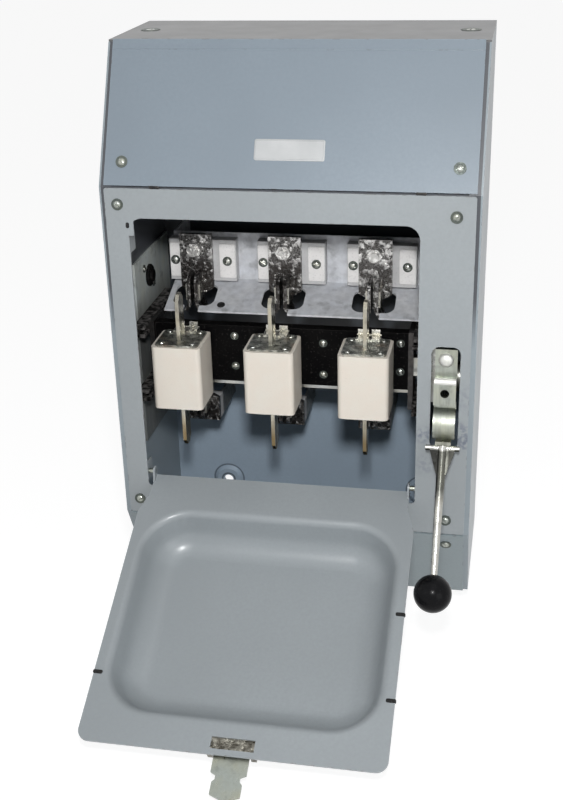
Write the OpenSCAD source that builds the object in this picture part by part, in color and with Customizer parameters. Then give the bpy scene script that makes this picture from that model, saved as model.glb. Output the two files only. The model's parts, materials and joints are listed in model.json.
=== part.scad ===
// Switch disconnector box: a sheet-steel wall box with a bottom-hinged dished door, a side lever and
// a sliding carriage that carries three knife-blade fuses into fixed jaws.
// X runs across the box, Y runs back to the wall (the wall face is Y = 0), Z runs up.
// Z = 0 lies at the middle of the front frame.

/* [Box] */
// Outer width of the box
body_w = 288; // [280:1:330]
// Depth from the wall face to the front face of the front frame
body_d = 161; // [155:1:200]
// Height of the front frame
frame_h = 280; // [276:1:320]
// Rise of the sloping upper cover above the front frame
hood_rise = 101; // [80:1:140]
// How far the upper cover leans back over that rise
hood_run = 52; // [30:1:60]
// Drop of the sloping lower cover below the front frame
skirt_drop = 76; // [60:1:110]
// How far the lower cover leans back over that drop
skirt_run = 39; // [25:1:60]
// Thickness of the sheet steel
sheet = 1.5; // [1:0.1:2]
// Width of the turned-in flanges that carry the covers
flange_w = 10; // [8:1:11]
// Distance from the box side to the edge of the covers and of the front frame
cover_inset = 4; // [3:0.5:6]

/* [Front frame] */
// Left edge of the door opening
open_left = -122.5; // [-124:0.5:-118]
// Right edge of the door opening
open_right = 100; // [98:0.5:101]
// Top edge of the door opening
open_top = 116.5; // [110:0.5:118]
// Bottom edge of the door opening
open_bottom = -114; // [-115:0.5:-112]
// Radius of the upper corners of the door opening
open_r = 11; // [6:1:14]
// Radius of its lower corners, beside the hinges
open_r_low = 3; // [2:0.5:5]
// Width of the lever slot
slot_w = 22; // [20:0.5:24]
// Height of the lever slot
slot_h = 86; // [84:1:90]

/* [Door] */
// How far the open door hangs round from closed, in degrees
door_open = 117; // [100:1:120]
// Depth of the dish pressed in the door
dish_depth = 30; // [26:1:34]
// Flat rim between the door edge and the dish at the sides
rim_side = 6; // [5:0.5:14]
// Flat rim at the hinge end of the door
rim_hinge = 32; // [28:1:38]
// Flat rim at the latch end of the door
rim_latch = 23; // [20:1:28]
// Corner radius of the dish where it meets the rim
dish_corner = 42; // [36:1:50]
// Slope of the dish walls from upright, in degrees
dish_draft = 20; // [10:1:24]
// Radius between the walls and the floor of the dish
dish_fillet = 22; // [16:1:24]

/* [Poles and fuses] */
// Distance between neighbouring poles
pole_pitch = 76.5; // [74:0.5:80]
// Middle pole, measured from the middle of the box
pole_x = -21; // [-23:0.5:-19]
// Height of the fuse centres
fuse_z = -23; // [-26:1:-20]
// Side of the square porcelain fuse body
fuse_side = 41; // [36:1:44]
// Height of the porcelain fuse body
fuse_h = 54; // [50:1:56]
// Length of each blade outside its end plate
blade_len = 38.5; // [34:0.5:41]
// Travel of the carriage from off to on
travel = 52; // [46:1:56]

/* [Lever] */
// Height of the lever pivot
lever_z = -20; // [-22:0.5:-18]
// Middle of the lever across the box
lever_x = 121.5; // [121:0.5:123]
// Depth of the lever pivot behind the frame face
pivot_depth = 46; // [44:1:50]
// Swing of the lever between off and on, in degrees
lever_swing = 68; // [60:1:70]
// Diameter of the round knob
knob_d = 29; // [24:1:29]

/* [Hidden] */
$fn = 64;

half_w = body_w / 2;
front_y = -body_d;
frame_top = frame_h / 2;
frame_bottom = -frame_h / 2;
hood_top = frame_top + hood_rise;
skirt_bottom = frame_bottom - skirt_drop;
inner_x = half_w - sheet;
// the box walls stop one sheet behind the face of the front frame
wall_front = front_y + sheet;
poles = [for (i = [-1:1]) pole_x + i * pole_pitch];

// Wall fixing
foot_x = 93.5;
foot_low = skirt_bottom + 28;
foot_high = hood_top - 28;
foot_hole_d = 9;
foot_boss_d = 28;
foot_boss_h = 3;

module rounded_rect(w, h, r) {
    // exact rounded rectangle, centred
    square([w - 2 * r, h], center = true);
    square([w, h - 2 * r], center = true);
    for (x = [-1, 1], z = [-1, 1])
        translate([x * (w / 2 - r), z * (h / 2 - r)])
            circle(r);
}

// turns a profile drawn in (Y, Z) into a plate that runs from x0 to x1
module across(x0, x1) {
    translate([x0, 0, 0])
        rotate([90, 0, 90])
            linear_extrude(x1 - x0)
                children();
}

// turns a profile drawn in (X, Z) into a plate that runs from y0 back to y1
module along(y0, y1) {
    translate([0, y1, 0])
        rotate([90, 0, 0])
            linear_extrude(y1 - y0)
                children();
}

module block(x0, x1, y0, y1, z0, z1) {
    translate([x0, y0, z0])
        cube([x1 - x0, y1 - y0, z1 - z0]);
}

// ---------- box ----------

function side_profile(inset) = [
    [0, skirt_bottom + inset],
    [front_y + skirt_run + inset, skirt_bottom + inset],
    [wall_front + inset, frame_bottom],
    [wall_front + inset, frame_top],
    [front_y + hood_run + inset, hood_top - inset],
    [0, hood_top - inset]
];

module foot_boss(x, z) {
    translate([x, -sheet, z])
        rotate([90, 0, 0])
            cylinder(d1 = foot_boss_d, d2 = foot_boss_d - 6, h = foot_boss_h);
}

module back_wall() {
    color("slategray")
        difference() {
            union() {
                block(-half_w, half_w, -sheet, 0, skirt_bottom, hood_top);
                for (x = [-foot_x, foot_x], z = [foot_low, foot_high])
                    foot_boss(x, z);
            }
            for (x = [-foot_x, foot_x], z = [foot_low, foot_high])
                translate([x, 1, z])
                    rotate([90, 0, 0])
                        cylinder(d = foot_hole_d, h = foot_boss_h + sheet + 2);
        }
}

rail_h = 8;
rail_d = 10;
lug_w = 26;
lug_h = 16;

module side_wall(side) {
    // flat cheek with its edges turned in to carry the frame and the covers
    x_out = side * half_w;
    x_in = side * inner_x;
    x_flange = side * (half_w - flange_w);
    hood_angle = atan2(hood_run, hood_rise);
    skirt_angle = atan2(skirt_run, skirt_drop);
    color("lightsteelblue") {
        difference() {
            across(min(x_out, x_in), max(x_out, x_in))
                polygon(side_profile(0));
            block(-half_w - 1, half_w + 1, -sheet, 1, skirt_bottom - 1, hood_top + 1);
            block(-half_w - 1, half_w + 1, front_y, 1, hood_top - sheet, hood_top + 1);
            block(-half_w - 1, half_w + 1, front_y, 1, skirt_bottom - 1, skirt_bottom + sheet);
        }
        // wider lugs behind the corners of the front frame, where its screws are
        for (z = [frame_top - rail_h - lug_h, frame_bottom + rail_h])
            block(min(x_in, side * (half_w - lug_w)), max(x_in, side * (half_w - lug_w)),
                wall_front, wall_front + sheet, z, z + lug_h);
        across(min(x_in, x_flange), max(x_in, x_flange))
            difference() {
                polygon(side_profile(0));
                polygon([
                    [1, skirt_bottom - 1],
                    [front_y + skirt_run + sheet + 1, skirt_bottom - 1],
                    [wall_front + sheet, frame_bottom + sheet * tan(skirt_angle / 2)],
                    [wall_front + sheet, frame_top - sheet * tan(hood_angle / 2)],
                    [front_y + hood_run + sheet + 1, hood_top + 1],
                    [1, hood_top + 1]
                ]);
                translate([front_y, hood_top - sheet])
                    square([body_d, 5]);
                translate([front_y, skirt_bottom + sheet - 5])
                    square([body_d, 5]);
            }
    }
}

module left_wall() {
    side_wall(-1);
}

module right_wall() {
    side_wall(1);
}

module top_wall() {
    color("dimgray")
        block(-half_w, half_w, front_y + hood_run, -sheet, hood_top - sheet, hood_top);
}

module bottom_wall() {
    color("slategray")
        block(-half_w, half_w, front_y + skirt_run, -sheet, skirt_bottom, skirt_bottom + sheet);
}

// cross rails behind the two seams between the frame and the covers
module seam_rails() {
    color("lightsteelblue") {
        block(-half_w + flange_w, half_w - flange_w, wall_front, wall_front + sheet,
            frame_top - rail_h, frame_top - 1);
        block(-half_w + flange_w, half_w - flange_w, wall_front, wall_front + rail_d,
            frame_top - 1, frame_top - 1 + sheet);
        block(-half_w + flange_w, half_w - flange_w, wall_front, wall_front + sheet,
            frame_bottom + 1, frame_bottom + rail_h);
        block(-half_w + flange_w, half_w - flange_w, wall_front, wall_front + rail_d,
            frame_bottom + 1 - sheet, frame_bottom + 1);
    }
}

// ---------- front frame and covers ----------

open_w = open_right - open_left;
open_h = open_top - open_bottom;
frame_w = body_w - 2 * cover_inset;

module front_frame() {
    color("lightgray") {
        along(front_y, wall_front)
            difference() {
                rounded_rect(frame_w, frame_h - 1, 2);
                translate([(open_left + open_right) / 2, (open_top + open_bottom) / 2]) {
                    rounded_rect(open_w, open_h, open_r);
                    translate([0, -open_h / 4])
                        rounded_rect(open_w, open_h / 2, open_r_low);
                }
                translate([lever_x, lever_z])
                    rounded_rect(slot_w, slot_h, 6);
            }
    }
}

// small ears turned in at the corners of the opening; the door pins pass through the lower pair
ear_w = 1.5;
ear_h = 16;
ear_d = 12;
hinge_y = front_y + 4;
hinge_z = open_bottom + 12;
pin_d = 4;
pin_gap = 0.1;

module frame_ear(x, z, drilled) {
    difference() {
        block(x, x + ear_w, wall_front, wall_front + ear_d, z - ear_h / 2, z + ear_h / 2);
        if (drilled)
            translate([x - 1, hinge_y, hinge_z])
                rotate([0, 90, 0])
                    cylinder(d = pin_d + 2 * pin_gap, h = ear_w + 2);
    }
}

module frame_ears() {
    color("gainsboro") {
        frame_ear(open_left - ear_w, hinge_z, true);
        frame_ear(open_right, hinge_z, true);
        frame_ear(open_left - ear_w, open_top - 20, false);
        frame_ear(open_right, open_top - 20, false);
    }
}

// a cover lies on the sloping flanges and ends just short of the seam
module sloped_cover(run, rise, w) {
    angle = atan2(run, rise);
    slope_len = sqrt(run * run + rise * rise);
    rotate([-angle, 0, 0])
        translate([-w / 2, -sheet, 1])
            cube([w, sheet, slope_len - 1]);
}

module upper_cover() {
    color("lightslategray")
        translate([0, wall_front, frame_top])
            sloped_cover(hood_run - sheet, hood_rise, frame_w);
}

module lower_cover() {
    color("lightslategray")
        translate([0, wall_front, frame_bottom])
            mirror([0, 0, 1])
                sloped_cover(skirt_run - sheet, skirt_drop, frame_w);
}

// ---------- fixed contacts ----------

blade_y_off = front_y + 37.5;
blade_y_on = blade_y_off + travel;
blade_w = 14;
blade_t = 3;
end_t = 1.5;
// how far the end plates lie inside the edges of the fuse body
end_inset = 2.5;
// from the end of the fuse body to the tips of the jaw leaves
jaw_clear = 9.5;
contact_gap = 0.15;
leaf_t = 3;
leaf_d = blade_w + 4;
// how far the tips of a pair of leaves are splayed to lead the blade in
leaf_splay = 3.5;
base_t = 4;
base_w = 28;
base_y = blade_y_on + blade_w / 2 + 1;
pad_t = 10;
pad_left = 24;
pad_right = 34;
pad_h = 36;
plate_y = base_y + base_t + pad_t;
// heights above the fuse centre, used upward for the upper row and downward for the lower row
jaw_low = fuse_h / 2 + jaw_clear;
jaw_high = jaw_low + 30;
base_low = jaw_low + 10;
base_high = jaw_low + 62;
base_short = jaw_low + 37;
pad_low = jaw_low + 20.5;
plate_low = jaw_low + 18;
plate_high = jaw_low + 60.5;
plate_left = pole_x - 99;
plate_right = pole_x + 119;

module at_rows(up) {
    // children are drawn upward from the fuse centre; the lower row is their mirror image
    translate([0, 0, fuse_z])
        mirror([0, 0, up ? 0 : 1])
            children();
}

// a pair of upright leaves on a base plate; the plate narrows to the leaves at its open end
module jaw(x, top) {
    leaf_x = blade_t / 2 + contact_gap;
    leaf_out = leaf_x + leaf_t;
    along(base_y, base_y + base_t)
        polygon([
            [x - leaf_out, jaw_low + 2],
            [x + leaf_out, jaw_low + 2],
            [x + leaf_out, base_low],
            [x + base_w / 2, base_low + 5],
            [x + base_w / 2, top],
            [x - base_w / 2, top],
            [x - base_w / 2, base_low + 5],
            [x - leaf_out, base_low]
        ]);
    for (s = [0, 1])
        translate([x, 0, 0])
            mirror([s, 0, 0])
                difference() {
                    along(base_y - leaf_d, base_y + 0.5)
                        polygon([
                            [leaf_x + leaf_splay, jaw_low],
                            [leaf_out + leaf_splay, jaw_low],
                            [leaf_out, jaw_low + 6],
                            [leaf_out, jaw_high],
                            [leaf_x, jaw_high],
                            [leaf_x, jaw_low + 5]
                        ]);
                    // the front corners of a leaf are cut away at 45 degrees
                    translate([0, base_y - leaf_d, jaw_high])
                        rotate([45, 0, 0])
                            cube([30, 6, 6], center = true);
                }
}

// stud with its nut and washer, which clamps a cable lug to the base plate
module terminal(x, z) {
    translate([x, base_y, z])
        rotate([90, 0, 0]) {
            cylinder(d = 15, h = 1.5);
            translate([0, 0, 1.5])
                cylinder(d = 13, h = 6, $fn = 6);
            cylinder(d = 8, h = 12);
        }
}

// a flat spring bent over the leaves like a staple, with its legs pressing on their outer faces
module jaw_spring(x) {
    leaf_out = blade_t / 2 + contact_gap + leaf_t;
    spring_z = jaw_low + 9;
    spring_h = 14;
    for (s = [0, 1])
        translate([x, 0, 0])
            mirror([s, 0, 0])
                block(leaf_out, leaf_out + 1.5, base_y - leaf_d + 2, base_y, spring_z, spring_z + spring_h);
}

module insulator(x) {
    block(x - pad_left, x + pad_right, base_y + base_t, base_y + base_t + pad_t, pad_low, pad_low + pad_h);
}

module upper_jaws() {
    color("silver")
        at_rows(true)
            for (x = poles) {
                jaw(x, base_high);
                terminal(x, base_high - 12);
            }
}

module lower_jaws() {
    color("silver")
        at_rows(false)
            for (x = poles)
                jaw(x, base_short);
}

module upper_springs() {
    color("dimgray")
        at_rows(true)
            for (x = poles)
                jaw_spring(x);
}

module lower_springs() {
    color("dimgray")
        at_rows(false)
            for (x = poles)
                jaw_spring(x);
}

module upper_insulators() {
    color("white")
        at_rows(true)
            for (x = poles)
                insulator(x);
}

module lower_insulators() {
    color("white")
        at_rows(false)
            for (x = poles)
                block(x - base_w / 2, x + base_w / 2, base_y + base_t, base_y + base_t + pad_t,
                    base_low + 5, base_short - 1);
}

// the shelf slopes forward and down from the foot of the plate
shelf_run = 42;
shelf_fall = 15;
// cut-out round each jaw, and the slot that lets the blade through the front of the shelf
notch_w = 36;
notch_run = 28;
notch_r = 8;
notch_back = base_y + base_t + 2;
blade_slot = blade_t + 10;

module upper_plate() {
    // folded sheet: legs back to the wall, a face for the insulators and a sloping shelf with cut-outs
    color("lightgray")
        at_rows(true) {
            along(plate_y, plate_y + sheet)
                translate([plate_left, plate_low])
                    square([plate_right - plate_left, plate_high - plate_low]);
            difference() {
                across(plate_left, plate_right)
                    polygon([
                        [plate_y + sheet, plate_low],
                        [plate_y + sheet, plate_low + 2 * sheet],
                        [plate_y, plate_low + 2 * sheet],
                        [plate_y, plate_low + sheet],
                        [plate_y - shelf_run, plate_low + sheet - shelf_fall],
                        [plate_y - shelf_run, plate_low - shelf_fall]
                    ]);
                for (x = poles)
                    translate([x, notch_back - notch_run / 2, 0])
                        linear_extrude(2 * plate_low, center = true)
                            rounded_rect(notch_w, notch_run, notch_r);
                for (x = poles)
                    block(x - blade_slot / 2, x + blade_slot / 2, plate_y - shelf_run - 1,
                        notch_back - notch_run / 2, 0, 2 * plate_low);
            }
            block(plate_left, plate_left + sheet, plate_y + sheet, -sheet, plate_low, plate_high);
            block(plate_right - sheet, plate_right, plate_y + sheet, -sheet, plate_low, plate_high);
        }
}

module lower_brackets() {
    color("lightgray")
        at_rows(false)
            for (x = poles) {
                block(x - base_w / 2, x + base_w / 2, plate_y, plate_y + 2, base_low + 5, base_short - 1);
                for (s = [0, 1])
                    translate([x, 0, 0])
                        mirror([s, 0, 0])
                            block(base_w / 2 - 2, base_w / 2, plate_y + 1, -sheet, base_low + 5, base_short - 1);
            }
}

// ---------- guides ----------

rail_z = 29;
rail_bar_h = 10;
rail_bar_w = 10;
rail_front = front_y + 44;
rail_back = -18;
cheek_t = 2;
cheek_front = front_y + 60;
cheek_top = 82;
cheek_bottom = -80;
right_cheek_x = open_right + 2;
groove_h = 4;
groove_d = 5;
slide_gap = 0.3;

module left_cheek() {
    color("darkseagreen")
        at_rows(true)
            block(-inner_x, -inner_x + cheek_t, cheek_front, -sheet, cheek_bottom, cheek_top);
}

module right_cheek() {
    color("darkseagreen")
        at_rows(true) {
            difference() {
                block(right_cheek_x, right_cheek_x + cheek_t, cheek_front - 16, -sheet,
                    cheek_bottom, cheek_top);
                block(right_cheek_x - 1, right_cheek_x + cheek_t + 1, cheek_front - 20, rail_back + 6,
                    lever_z - fuse_z - 14, lever_z - fuse_z + 14);
            }
            block(right_cheek_x + cheek_t, right_cheek_x + 14, -sheet - cheek_t, -sheet,
                cheek_bottom, cheek_top);
        }
}

// a grooved bar; the groove faces the carriage
module guide_bar(x_back, dir, z) {
    difference() {
        block(min(x_back, x_back + dir * rail_bar_w), max(x_back, x_back + dir * rail_bar_w),
            rail_front, rail_back, z - rail_bar_h / 2, z + rail_bar_h / 2);
        block(min(x_back + dir * (rail_bar_w - groove_d), x_back + dir * (rail_bar_w + 1)),
            max(x_back + dir * (rail_bar_w - groove_d), x_back + dir * (rail_bar_w + 1)),
            rail_front - 1, rail_back + 1, z - groove_h / 2, z + groove_h / 2);
    }
}

module left_rails() {
    color("#222222")
        at_rows(true)
            for (z = [-rail_z, rail_z])
                guide_bar(-inner_x + cheek_t, 1, z);
}

module right_rails() {
    color("#222222")
        at_rows(true)
            for (z = [-rail_z, rail_z])
                guide_bar(right_cheek_x, -1, z);
}

// ---------- carriage ----------

trav_front = front_y + 61;
trav_t = 10;
// the bar reaches further above the fuse centre than below it
trav_up = 32;
trav_down = 18;
slider_t = 4;
slider_l = 30;
left_face = -inner_x + cheek_t + rail_bar_w;
right_face = right_cheek_x - rail_bar_w;

module traverse() {
    color("#1a1a1a")
        at_rows(true)
            block(left_face + slide_gap + slider_t, right_face - slide_gap - slider_t,
                trav_front, trav_front + trav_t, -trav_down, trav_up);
}

module traverse_strip() {
    color("silver")
        at_rows(true)
            block(left_face + slide_gap + slider_t, right_face - slide_gap - slider_t,
                trav_front + 1, trav_front + trav_t, -trav_down - 3, -trav_down);
}

// end plate with a tongue in each groove
module slider(x_rail, dir) {
    x0 = x_rail + dir * slide_gap;
    x1 = x_rail + dir * (slide_gap + slider_t);
    block(min(x0, x1), max(x0, x1), trav_front - 4, trav_front - 4 + slider_l,
        -rail_z - 5, rail_z + 5);
    for (z = [-rail_z, rail_z])
        block(min(x0, x_rail - dir * (groove_d - slide_gap)), max(x0, x_rail - dir * (groove_d - slide_gap)),
            trav_front - 4, trav_front - 4 + slider_l,
            z - groove_h / 2 + slide_gap, z + groove_h / 2 - slide_gap);
}

module left_slider() {
    color("gray")
        at_rows(true)
            slider(left_face, 1);
}

module right_slider() {
    color("gray")
        at_rows(true)
            slider(right_face, -1);
}

// ---------- lever geometry, shared with the yoke ----------

pivot_y = front_y + pivot_depth;
crank_r = travel / 2 / sin(lever_swing / 2);
crank_pin_d = 8;
// the lever follows the carriage at a constant ratio, so the pin strays this far from the slot middle
pin_stray = crank_r * sin(lever_swing / 4) - travel / 4;
yoke_slot = crank_pin_d + 2 * pin_stray + 1;
yoke_t = 4;
yoke_x = right_cheek_x + cheek_t + 5;
crank_x = yoke_x + yoke_t + 1.5;
crank_t = 4;
pin_off_y = pivot_y - travel / 2;
pin_z_low = crank_r * cos(lever_swing / 2);

module yoke() {
    // arm through the open slot in the right cheek, and a plate with a tall slot for the crank pin
    arm_y0 = trav_front;
    color("gray")
        translate([0, 0, lever_z]) {
            block(right_face - slide_gap, yoke_x + yoke_t, arm_y0, arm_y0 + 8, -8, 8);
            difference() {
                union() {
                    block(yoke_x, yoke_x + yoke_t, pin_off_y - yoke_slot / 2 - 4, arm_y0 + 8,
                        -8, 8);
                    block(yoke_x, yoke_x + yoke_t, pin_off_y - yoke_slot / 2 - 4, pin_off_y + yoke_slot / 2 + 4,
                        -8, crank_r + crank_pin_d / 2 + 6);
                }
                block(yoke_x - 1, yoke_x + yoke_t + 1, pin_off_y - yoke_slot / 2, pin_off_y + yoke_slot / 2,
                    pin_z_low - crank_pin_d / 2 - 2, crank_r + crank_pin_d / 2 + 2);
            }
        }
}

shaft_d = 12;
shaft_gap = 0.1;

module lever_shaft() {
    // stub shaft with a flange riveted to the right wall
    color("silver")
        translate([crank_x - 1, pivot_y, lever_z])
            rotate([0, 90, 0]) {
                cylinder(d = shaft_d, h = inner_x - crank_x + 1);
                translate([0, 0, inner_x - crank_x + 1 - 3])
                    cylinder(d = 30, h = 3);
            }
}

hub_d = 24;
hub_w = inner_x - 3 - 1 - crank_x;

module lever_hub() {
    // crank plate, hub tube and crank pin; drawn with the lever horizontal, then swung down
    color("gainsboro")
        translate([0, pivot_y, lever_z])
            rotate([lever_swing / 2, 0, 0])
                difference() {
                    union() {
                        translate([crank_x, 0, 0])
                            rotate([0, 90, 0])
                                cylinder(d = hub_d, h = hub_w);
                        across(crank_x, crank_x + crank_t) {
                            circle(d = hub_d);
                            translate([-8, 0])
                                square([16, crank_r]);
                            translate([0, crank_r])
                                circle(8);
                        }
                        translate([yoke_x - 1, 0, crank_r])
                            rotate([0, 90, 0])
                                cylinder(d = crank_pin_d, h = crank_x - yoke_x + 2);
                    }
                    translate([crank_x - 1, 0, 0])
                        rotate([0, 90, 0])
                            cylinder(d = shaft_d + 2 * shaft_gap, h = hub_w + 2);
                }
}

strap_w = 12;
strap_t = 6;
// how far the strap lies below the line from the pivot to the rod
strap_sink = 2;
// how far the strap reaches past the top of the rod
strap_past = 2;
rod_len = 103;
rod_lean = 52;
rod_start = 66;
knob_r = knob_d / 2;

shield_t = 2;
shield_w = 17;
nose_r = 13.5;
nose_y = front_y + 8;
nose_z = lever_z - 23.5;
// height under which the strap runs in front of the nose
nose_thin = nose_z - nose_r + 3;

// side view of the rolled front half of the shield's nose
module nose_wall() {
    difference() {
        translate([nose_y, nose_z])
            circle(nose_r);
        translate([nose_y, nose_z])
            circle(nose_r - shield_t);
        translate([nose_y, nose_z - nose_r - 1])
            square([nose_r + 1, 2 * nose_r + 2]);
    }
}

module strap_profile() {
    rotate(lever_swing / 2)
        translate([-rod_start - strap_past, -strap_t / 2 - strap_sink])
            square([rod_start + strap_past, strap_t]);
}

module lever_strap() {
    // arm from the hub out through the slot; the rod is fixed to its end
    color("gainsboro")
        difference() {
            translate([0, pivot_y, lever_z])
                across(lever_x - strap_w / 2, lever_x + strap_w / 2)
                    strap_profile();
            // the wall of the rolled nose passes through the strap, and in front of it the strap is thinned
            across(lever_x - strap_w, lever_x + strap_w)
                nose_wall();
            across(lever_x - strap_w, lever_x + strap_w)
                difference() {
                    translate([nose_y - 2 * nose_r, nose_thin])
                        square([2 * nose_r, 2 * nose_r]);
                    translate([nose_y, nose_z])
                        circle(nose_r);
                }
            translate([crank_x, pivot_y, lever_z])
                rotate([0, 90, 0])
                    cylinder(d = hub_d, h = hub_w);
            rod_place()
                rod_body();
        }
}

tab_back = front_y + 5;
tab_front = front_y - 4;
tab_fold = lever_z + 15;
tab_top = lever_z + 39;
tab_end = lever_z - 3;
pad_hole_d = 7;

// side view of the shield: a recessed tab, a raised tab with the padlock hole and a rolled nose
module shield_profile() {
    translate([tab_back, tab_fold])
        square([shield_t, tab_top - tab_fold]);
    translate([tab_front, tab_fold - shield_t / 2])
        square([tab_back - tab_front + shield_t, shield_t]);
    translate([tab_front, tab_end])
        square([shield_t, tab_fold - tab_end]);
    translate([tab_front, tab_end - shield_t / 2])
        square([nose_y - tab_front, shield_t]);
    translate([nose_y - shield_t, nose_z + nose_r - 1])
        square([shield_t, tab_end - nose_z - nose_r + 1]);
    nose_wall();
}

module lever_shield() {
    color("gainsboro")
        difference() {
            across(lever_x - shield_w / 2, lever_x + shield_w / 2)
                shield_profile();
            translate([lever_x, tab_front + shield_t / 2, (tab_fold + tab_end) / 2])
                rotate([90, 0, 0])
                    cylinder(d = pad_hole_d, h = 3 * shield_t, center = true);
        }
}

module rod_place() {
    // the rod leaves the end of the strap a little steeper than the strap itself
    translate([lever_x, pivot_y - rod_start * cos(lever_swing / 2), lever_z - rod_start * sin(lever_swing / 2)])
        rotate([90 + rod_lean, 0, 0])
            children();
}

fork_w = 19;
fork_l = 22;
fork_t = 3.6;
rod_top_d = 7.5;
rod_end_d = 5;
cross_pin_d = 4.5;
cross_pin_l = 26;

// tapered rod with a wedge-shaped fork and the cross pin at its upper end
module rod_body() {
    cylinder(d1 = rod_top_d, d2 = rod_end_d, h = rod_len);
    rotate([90, 0, 0])
        linear_extrude(fork_t, center = true)
            polygon([
                [-fork_w / 2, 0],
                [fork_w / 2, 0],
                [fork_w / 2, 4],
                [rod_top_d / 2, fork_l],
                [-rod_top_d / 2, fork_l],
                [-fork_w / 2, 4]
            ]);
    translate([0, 0, 1])
        rotate([0, 90, 0])
            cylinder(d = cross_pin_d, h = cross_pin_l, center = true);
}

module lever_rod() {
    color("silver")
        rod_place()
            rod_body();
}

module lever_knob() {
    color("#111111")
        rod_place()
            difference() {
                translate([0, 0, rod_len + knob_r - 4])
                    sphere(d = knob_d);
                cylinder(d1 = rod_top_d, d2 = rod_end_d, h = rod_len);
            }
}

// ---------- fuses ----------

module fuse_clips() {
    // spring clips that hold each fuse by its end plates
    color("gainsboro")
        for (x = poles, m = [true, false])
            at_rows(m) {
                block(x - 10, x + 10, trav_front - 1.5, trav_front, trav_down - 6, fuse_h / 2 + end_t + 2);
                block(x - 10, x + 10, trav_front - 12, trav_front - 1.5,
                    fuse_h / 2 + end_t, fuse_h / 2 + end_t + 1.5);
            }
}

module fuse_body(i) {
    color("ivory")
        translate([poles[i], blade_y_off, fuse_z])
            linear_extrude(fuse_h, center = true)
                rounded_rect(fuse_side, fuse_side, 4);
}

module fuse_body_1() {
    fuse_body(0);
}

module fuse_body_2() {
    fuse_body(1);
}

module fuse_body_3() {
    fuse_body(2);
}

module fuse_ends() {
    color("silver")
        for (x = poles, m = [true, false])
            at_rows(m)
                translate([x, blade_y_off, fuse_h / 2])
                    linear_extrude(end_t)
                        rounded_rect(fuse_side - 2 * end_inset, fuse_side - 2 * end_inset, 4);
}

module fuse_blades() {
    color("silver")
        for (x = poles, m = [true, false])
            at_rows(m)
                across(x - blade_t / 2, x + blade_t / 2)
                    translate([blade_y_off, fuse_h / 2 + end_t])
                        polygon([
                            [-blade_w / 2, 0],
                            [-blade_w / 2, blade_len - 5],
                            [-blade_w / 2 + 4, blade_len],
                            [blade_w / 2 - 4, blade_len],
                            [blade_w / 2, blade_len - 5],
                            [blade_w / 2, 0]
                        ]);
}

// ---------- door ----------

door_left = open_left - 2;
door_right = open_right + 2;
door_top = frame_top - 6;
door_gap = 1;
door_bottom = hinge_z;
neck_top = hinge_z + 18;
door_mid = (door_left + door_right) / 2;
// the hinge end of the door is narrower than the opening by this much on each side
neck_gap = 4.5;
neck_left = open_left + neck_gap;
neck_right = open_right - neck_gap;

// children are drawn with the door closed, then swung open round the hinge
module door_swing() {
    translate([0, hinge_y, hinge_z])
        rotate([door_open, 0, 0])
            translate([0, -hinge_y, -hinge_z])
                children();
}

module door_outline() {
    r = 9;
    difference() {
        polygon([
            [neck_left, door_bottom],
            [neck_right, door_bottom],
            [neck_right, neck_top],
            [door_right, neck_top + 20],
            [door_right, door_top],
            [door_left, door_top],
            [door_left, neck_top + 20],
            [neck_left, neck_top]
        ]);
        for (corner = [[door_left, 0], [door_right, 1]])
            translate([corner[0], door_top])
                mirror([corner[1], 0])
                    difference() {
                        translate([-1, -r])
                            square([r + 1, r + 1]);
                        translate([r, -r])
                            circle(r);
                    }
    }
}

// ---- dish: one wall section swept round a rounded rectangle ----
dish_bend = 5;
dish_w = door_right - door_left - 2 * rim_side;
dish_h = door_top - door_bottom - rim_hinge - rim_latch;
dish_z = (door_bottom + rim_hinge + door_top - rim_latch) / 2;
// centres of the two bends, as (distance from the corner centre, depth below the rim)
bend_depth = sheet + dish_bend;
fillet_depth = dish_depth - sheet - dish_fillet;
wall_run = (bend_depth + dish_fillet + sin(dish_draft) * (fillet_depth - bend_depth)) / cos(dish_draft);
fillet_x = dish_corner - wall_run;

// half section of the space inside the dish (skin = 0) or of its outer skin (skin = sheet)
module dish_section(skin) {
    nx = cos(dish_draft);
    nz = sin(dish_draft);
    r_bend = bend_depth - skin;
    r_floor = dish_fillet + skin;
    top = skin > 0 ? skin / 2 : -1;
    difference() {
        union() {
            polygon([
                [0, top],
                [dish_corner, top],
                [dish_corner, bend_depth],
                [dish_corner - nx * r_bend, bend_depth - nz * r_bend],
                [fillet_x + nx * r_floor, fillet_depth + nz * r_floor],
                [fillet_x, fillet_depth],
                [fillet_x, fillet_depth + r_floor],
                [0, fillet_depth + r_floor]
            ]);
            intersection() {
                translate([fillet_x, fillet_depth])
                    circle(r_floor);
                translate([fillet_x - 1, fillet_depth])
                    square(r_floor + 2);
            }
        }
        translate([dish_corner, bend_depth])
            circle(r_bend);
    }
}

// the section is carried along the four sides and round the four corners
module dish_solid(skin) {
    side_x = dish_w / 2 - dish_corner;
    side_z = dish_h / 2 - dish_corner;
    for (turn = [0:3])
        rotate(90 * turn) {
            long = turn % 2 == 0 ? side_z : side_x;
            reach = turn % 2 == 0 ? side_x : side_z;
            translate([reach, long, 0])
                rotate([90, 0, 0])
                    linear_extrude(2 * long)
                        dish_section(skin);
            translate([reach, long, 0])
                rotate_extrude(angle = 90)
                    dish_section(skin);
        }
    translate([-side_x, -side_z, skin > 0 ? skin / 2 : -1])
        cube([2 * side_x, 2 * side_z, fillet_depth + dish_fillet + skin - (skin > 0 ? skin / 2 : -1)]);
}

module dish_place() {
    // depth runs forward from the inner face of the closed door
    translate([door_mid, front_y - door_gap, dish_z])
        rotate([90, 0, 0])
            children();
}

latch_x = door_mid + 2;
latch_slot_w = 32;
latch_slot_h = 9;

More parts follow.
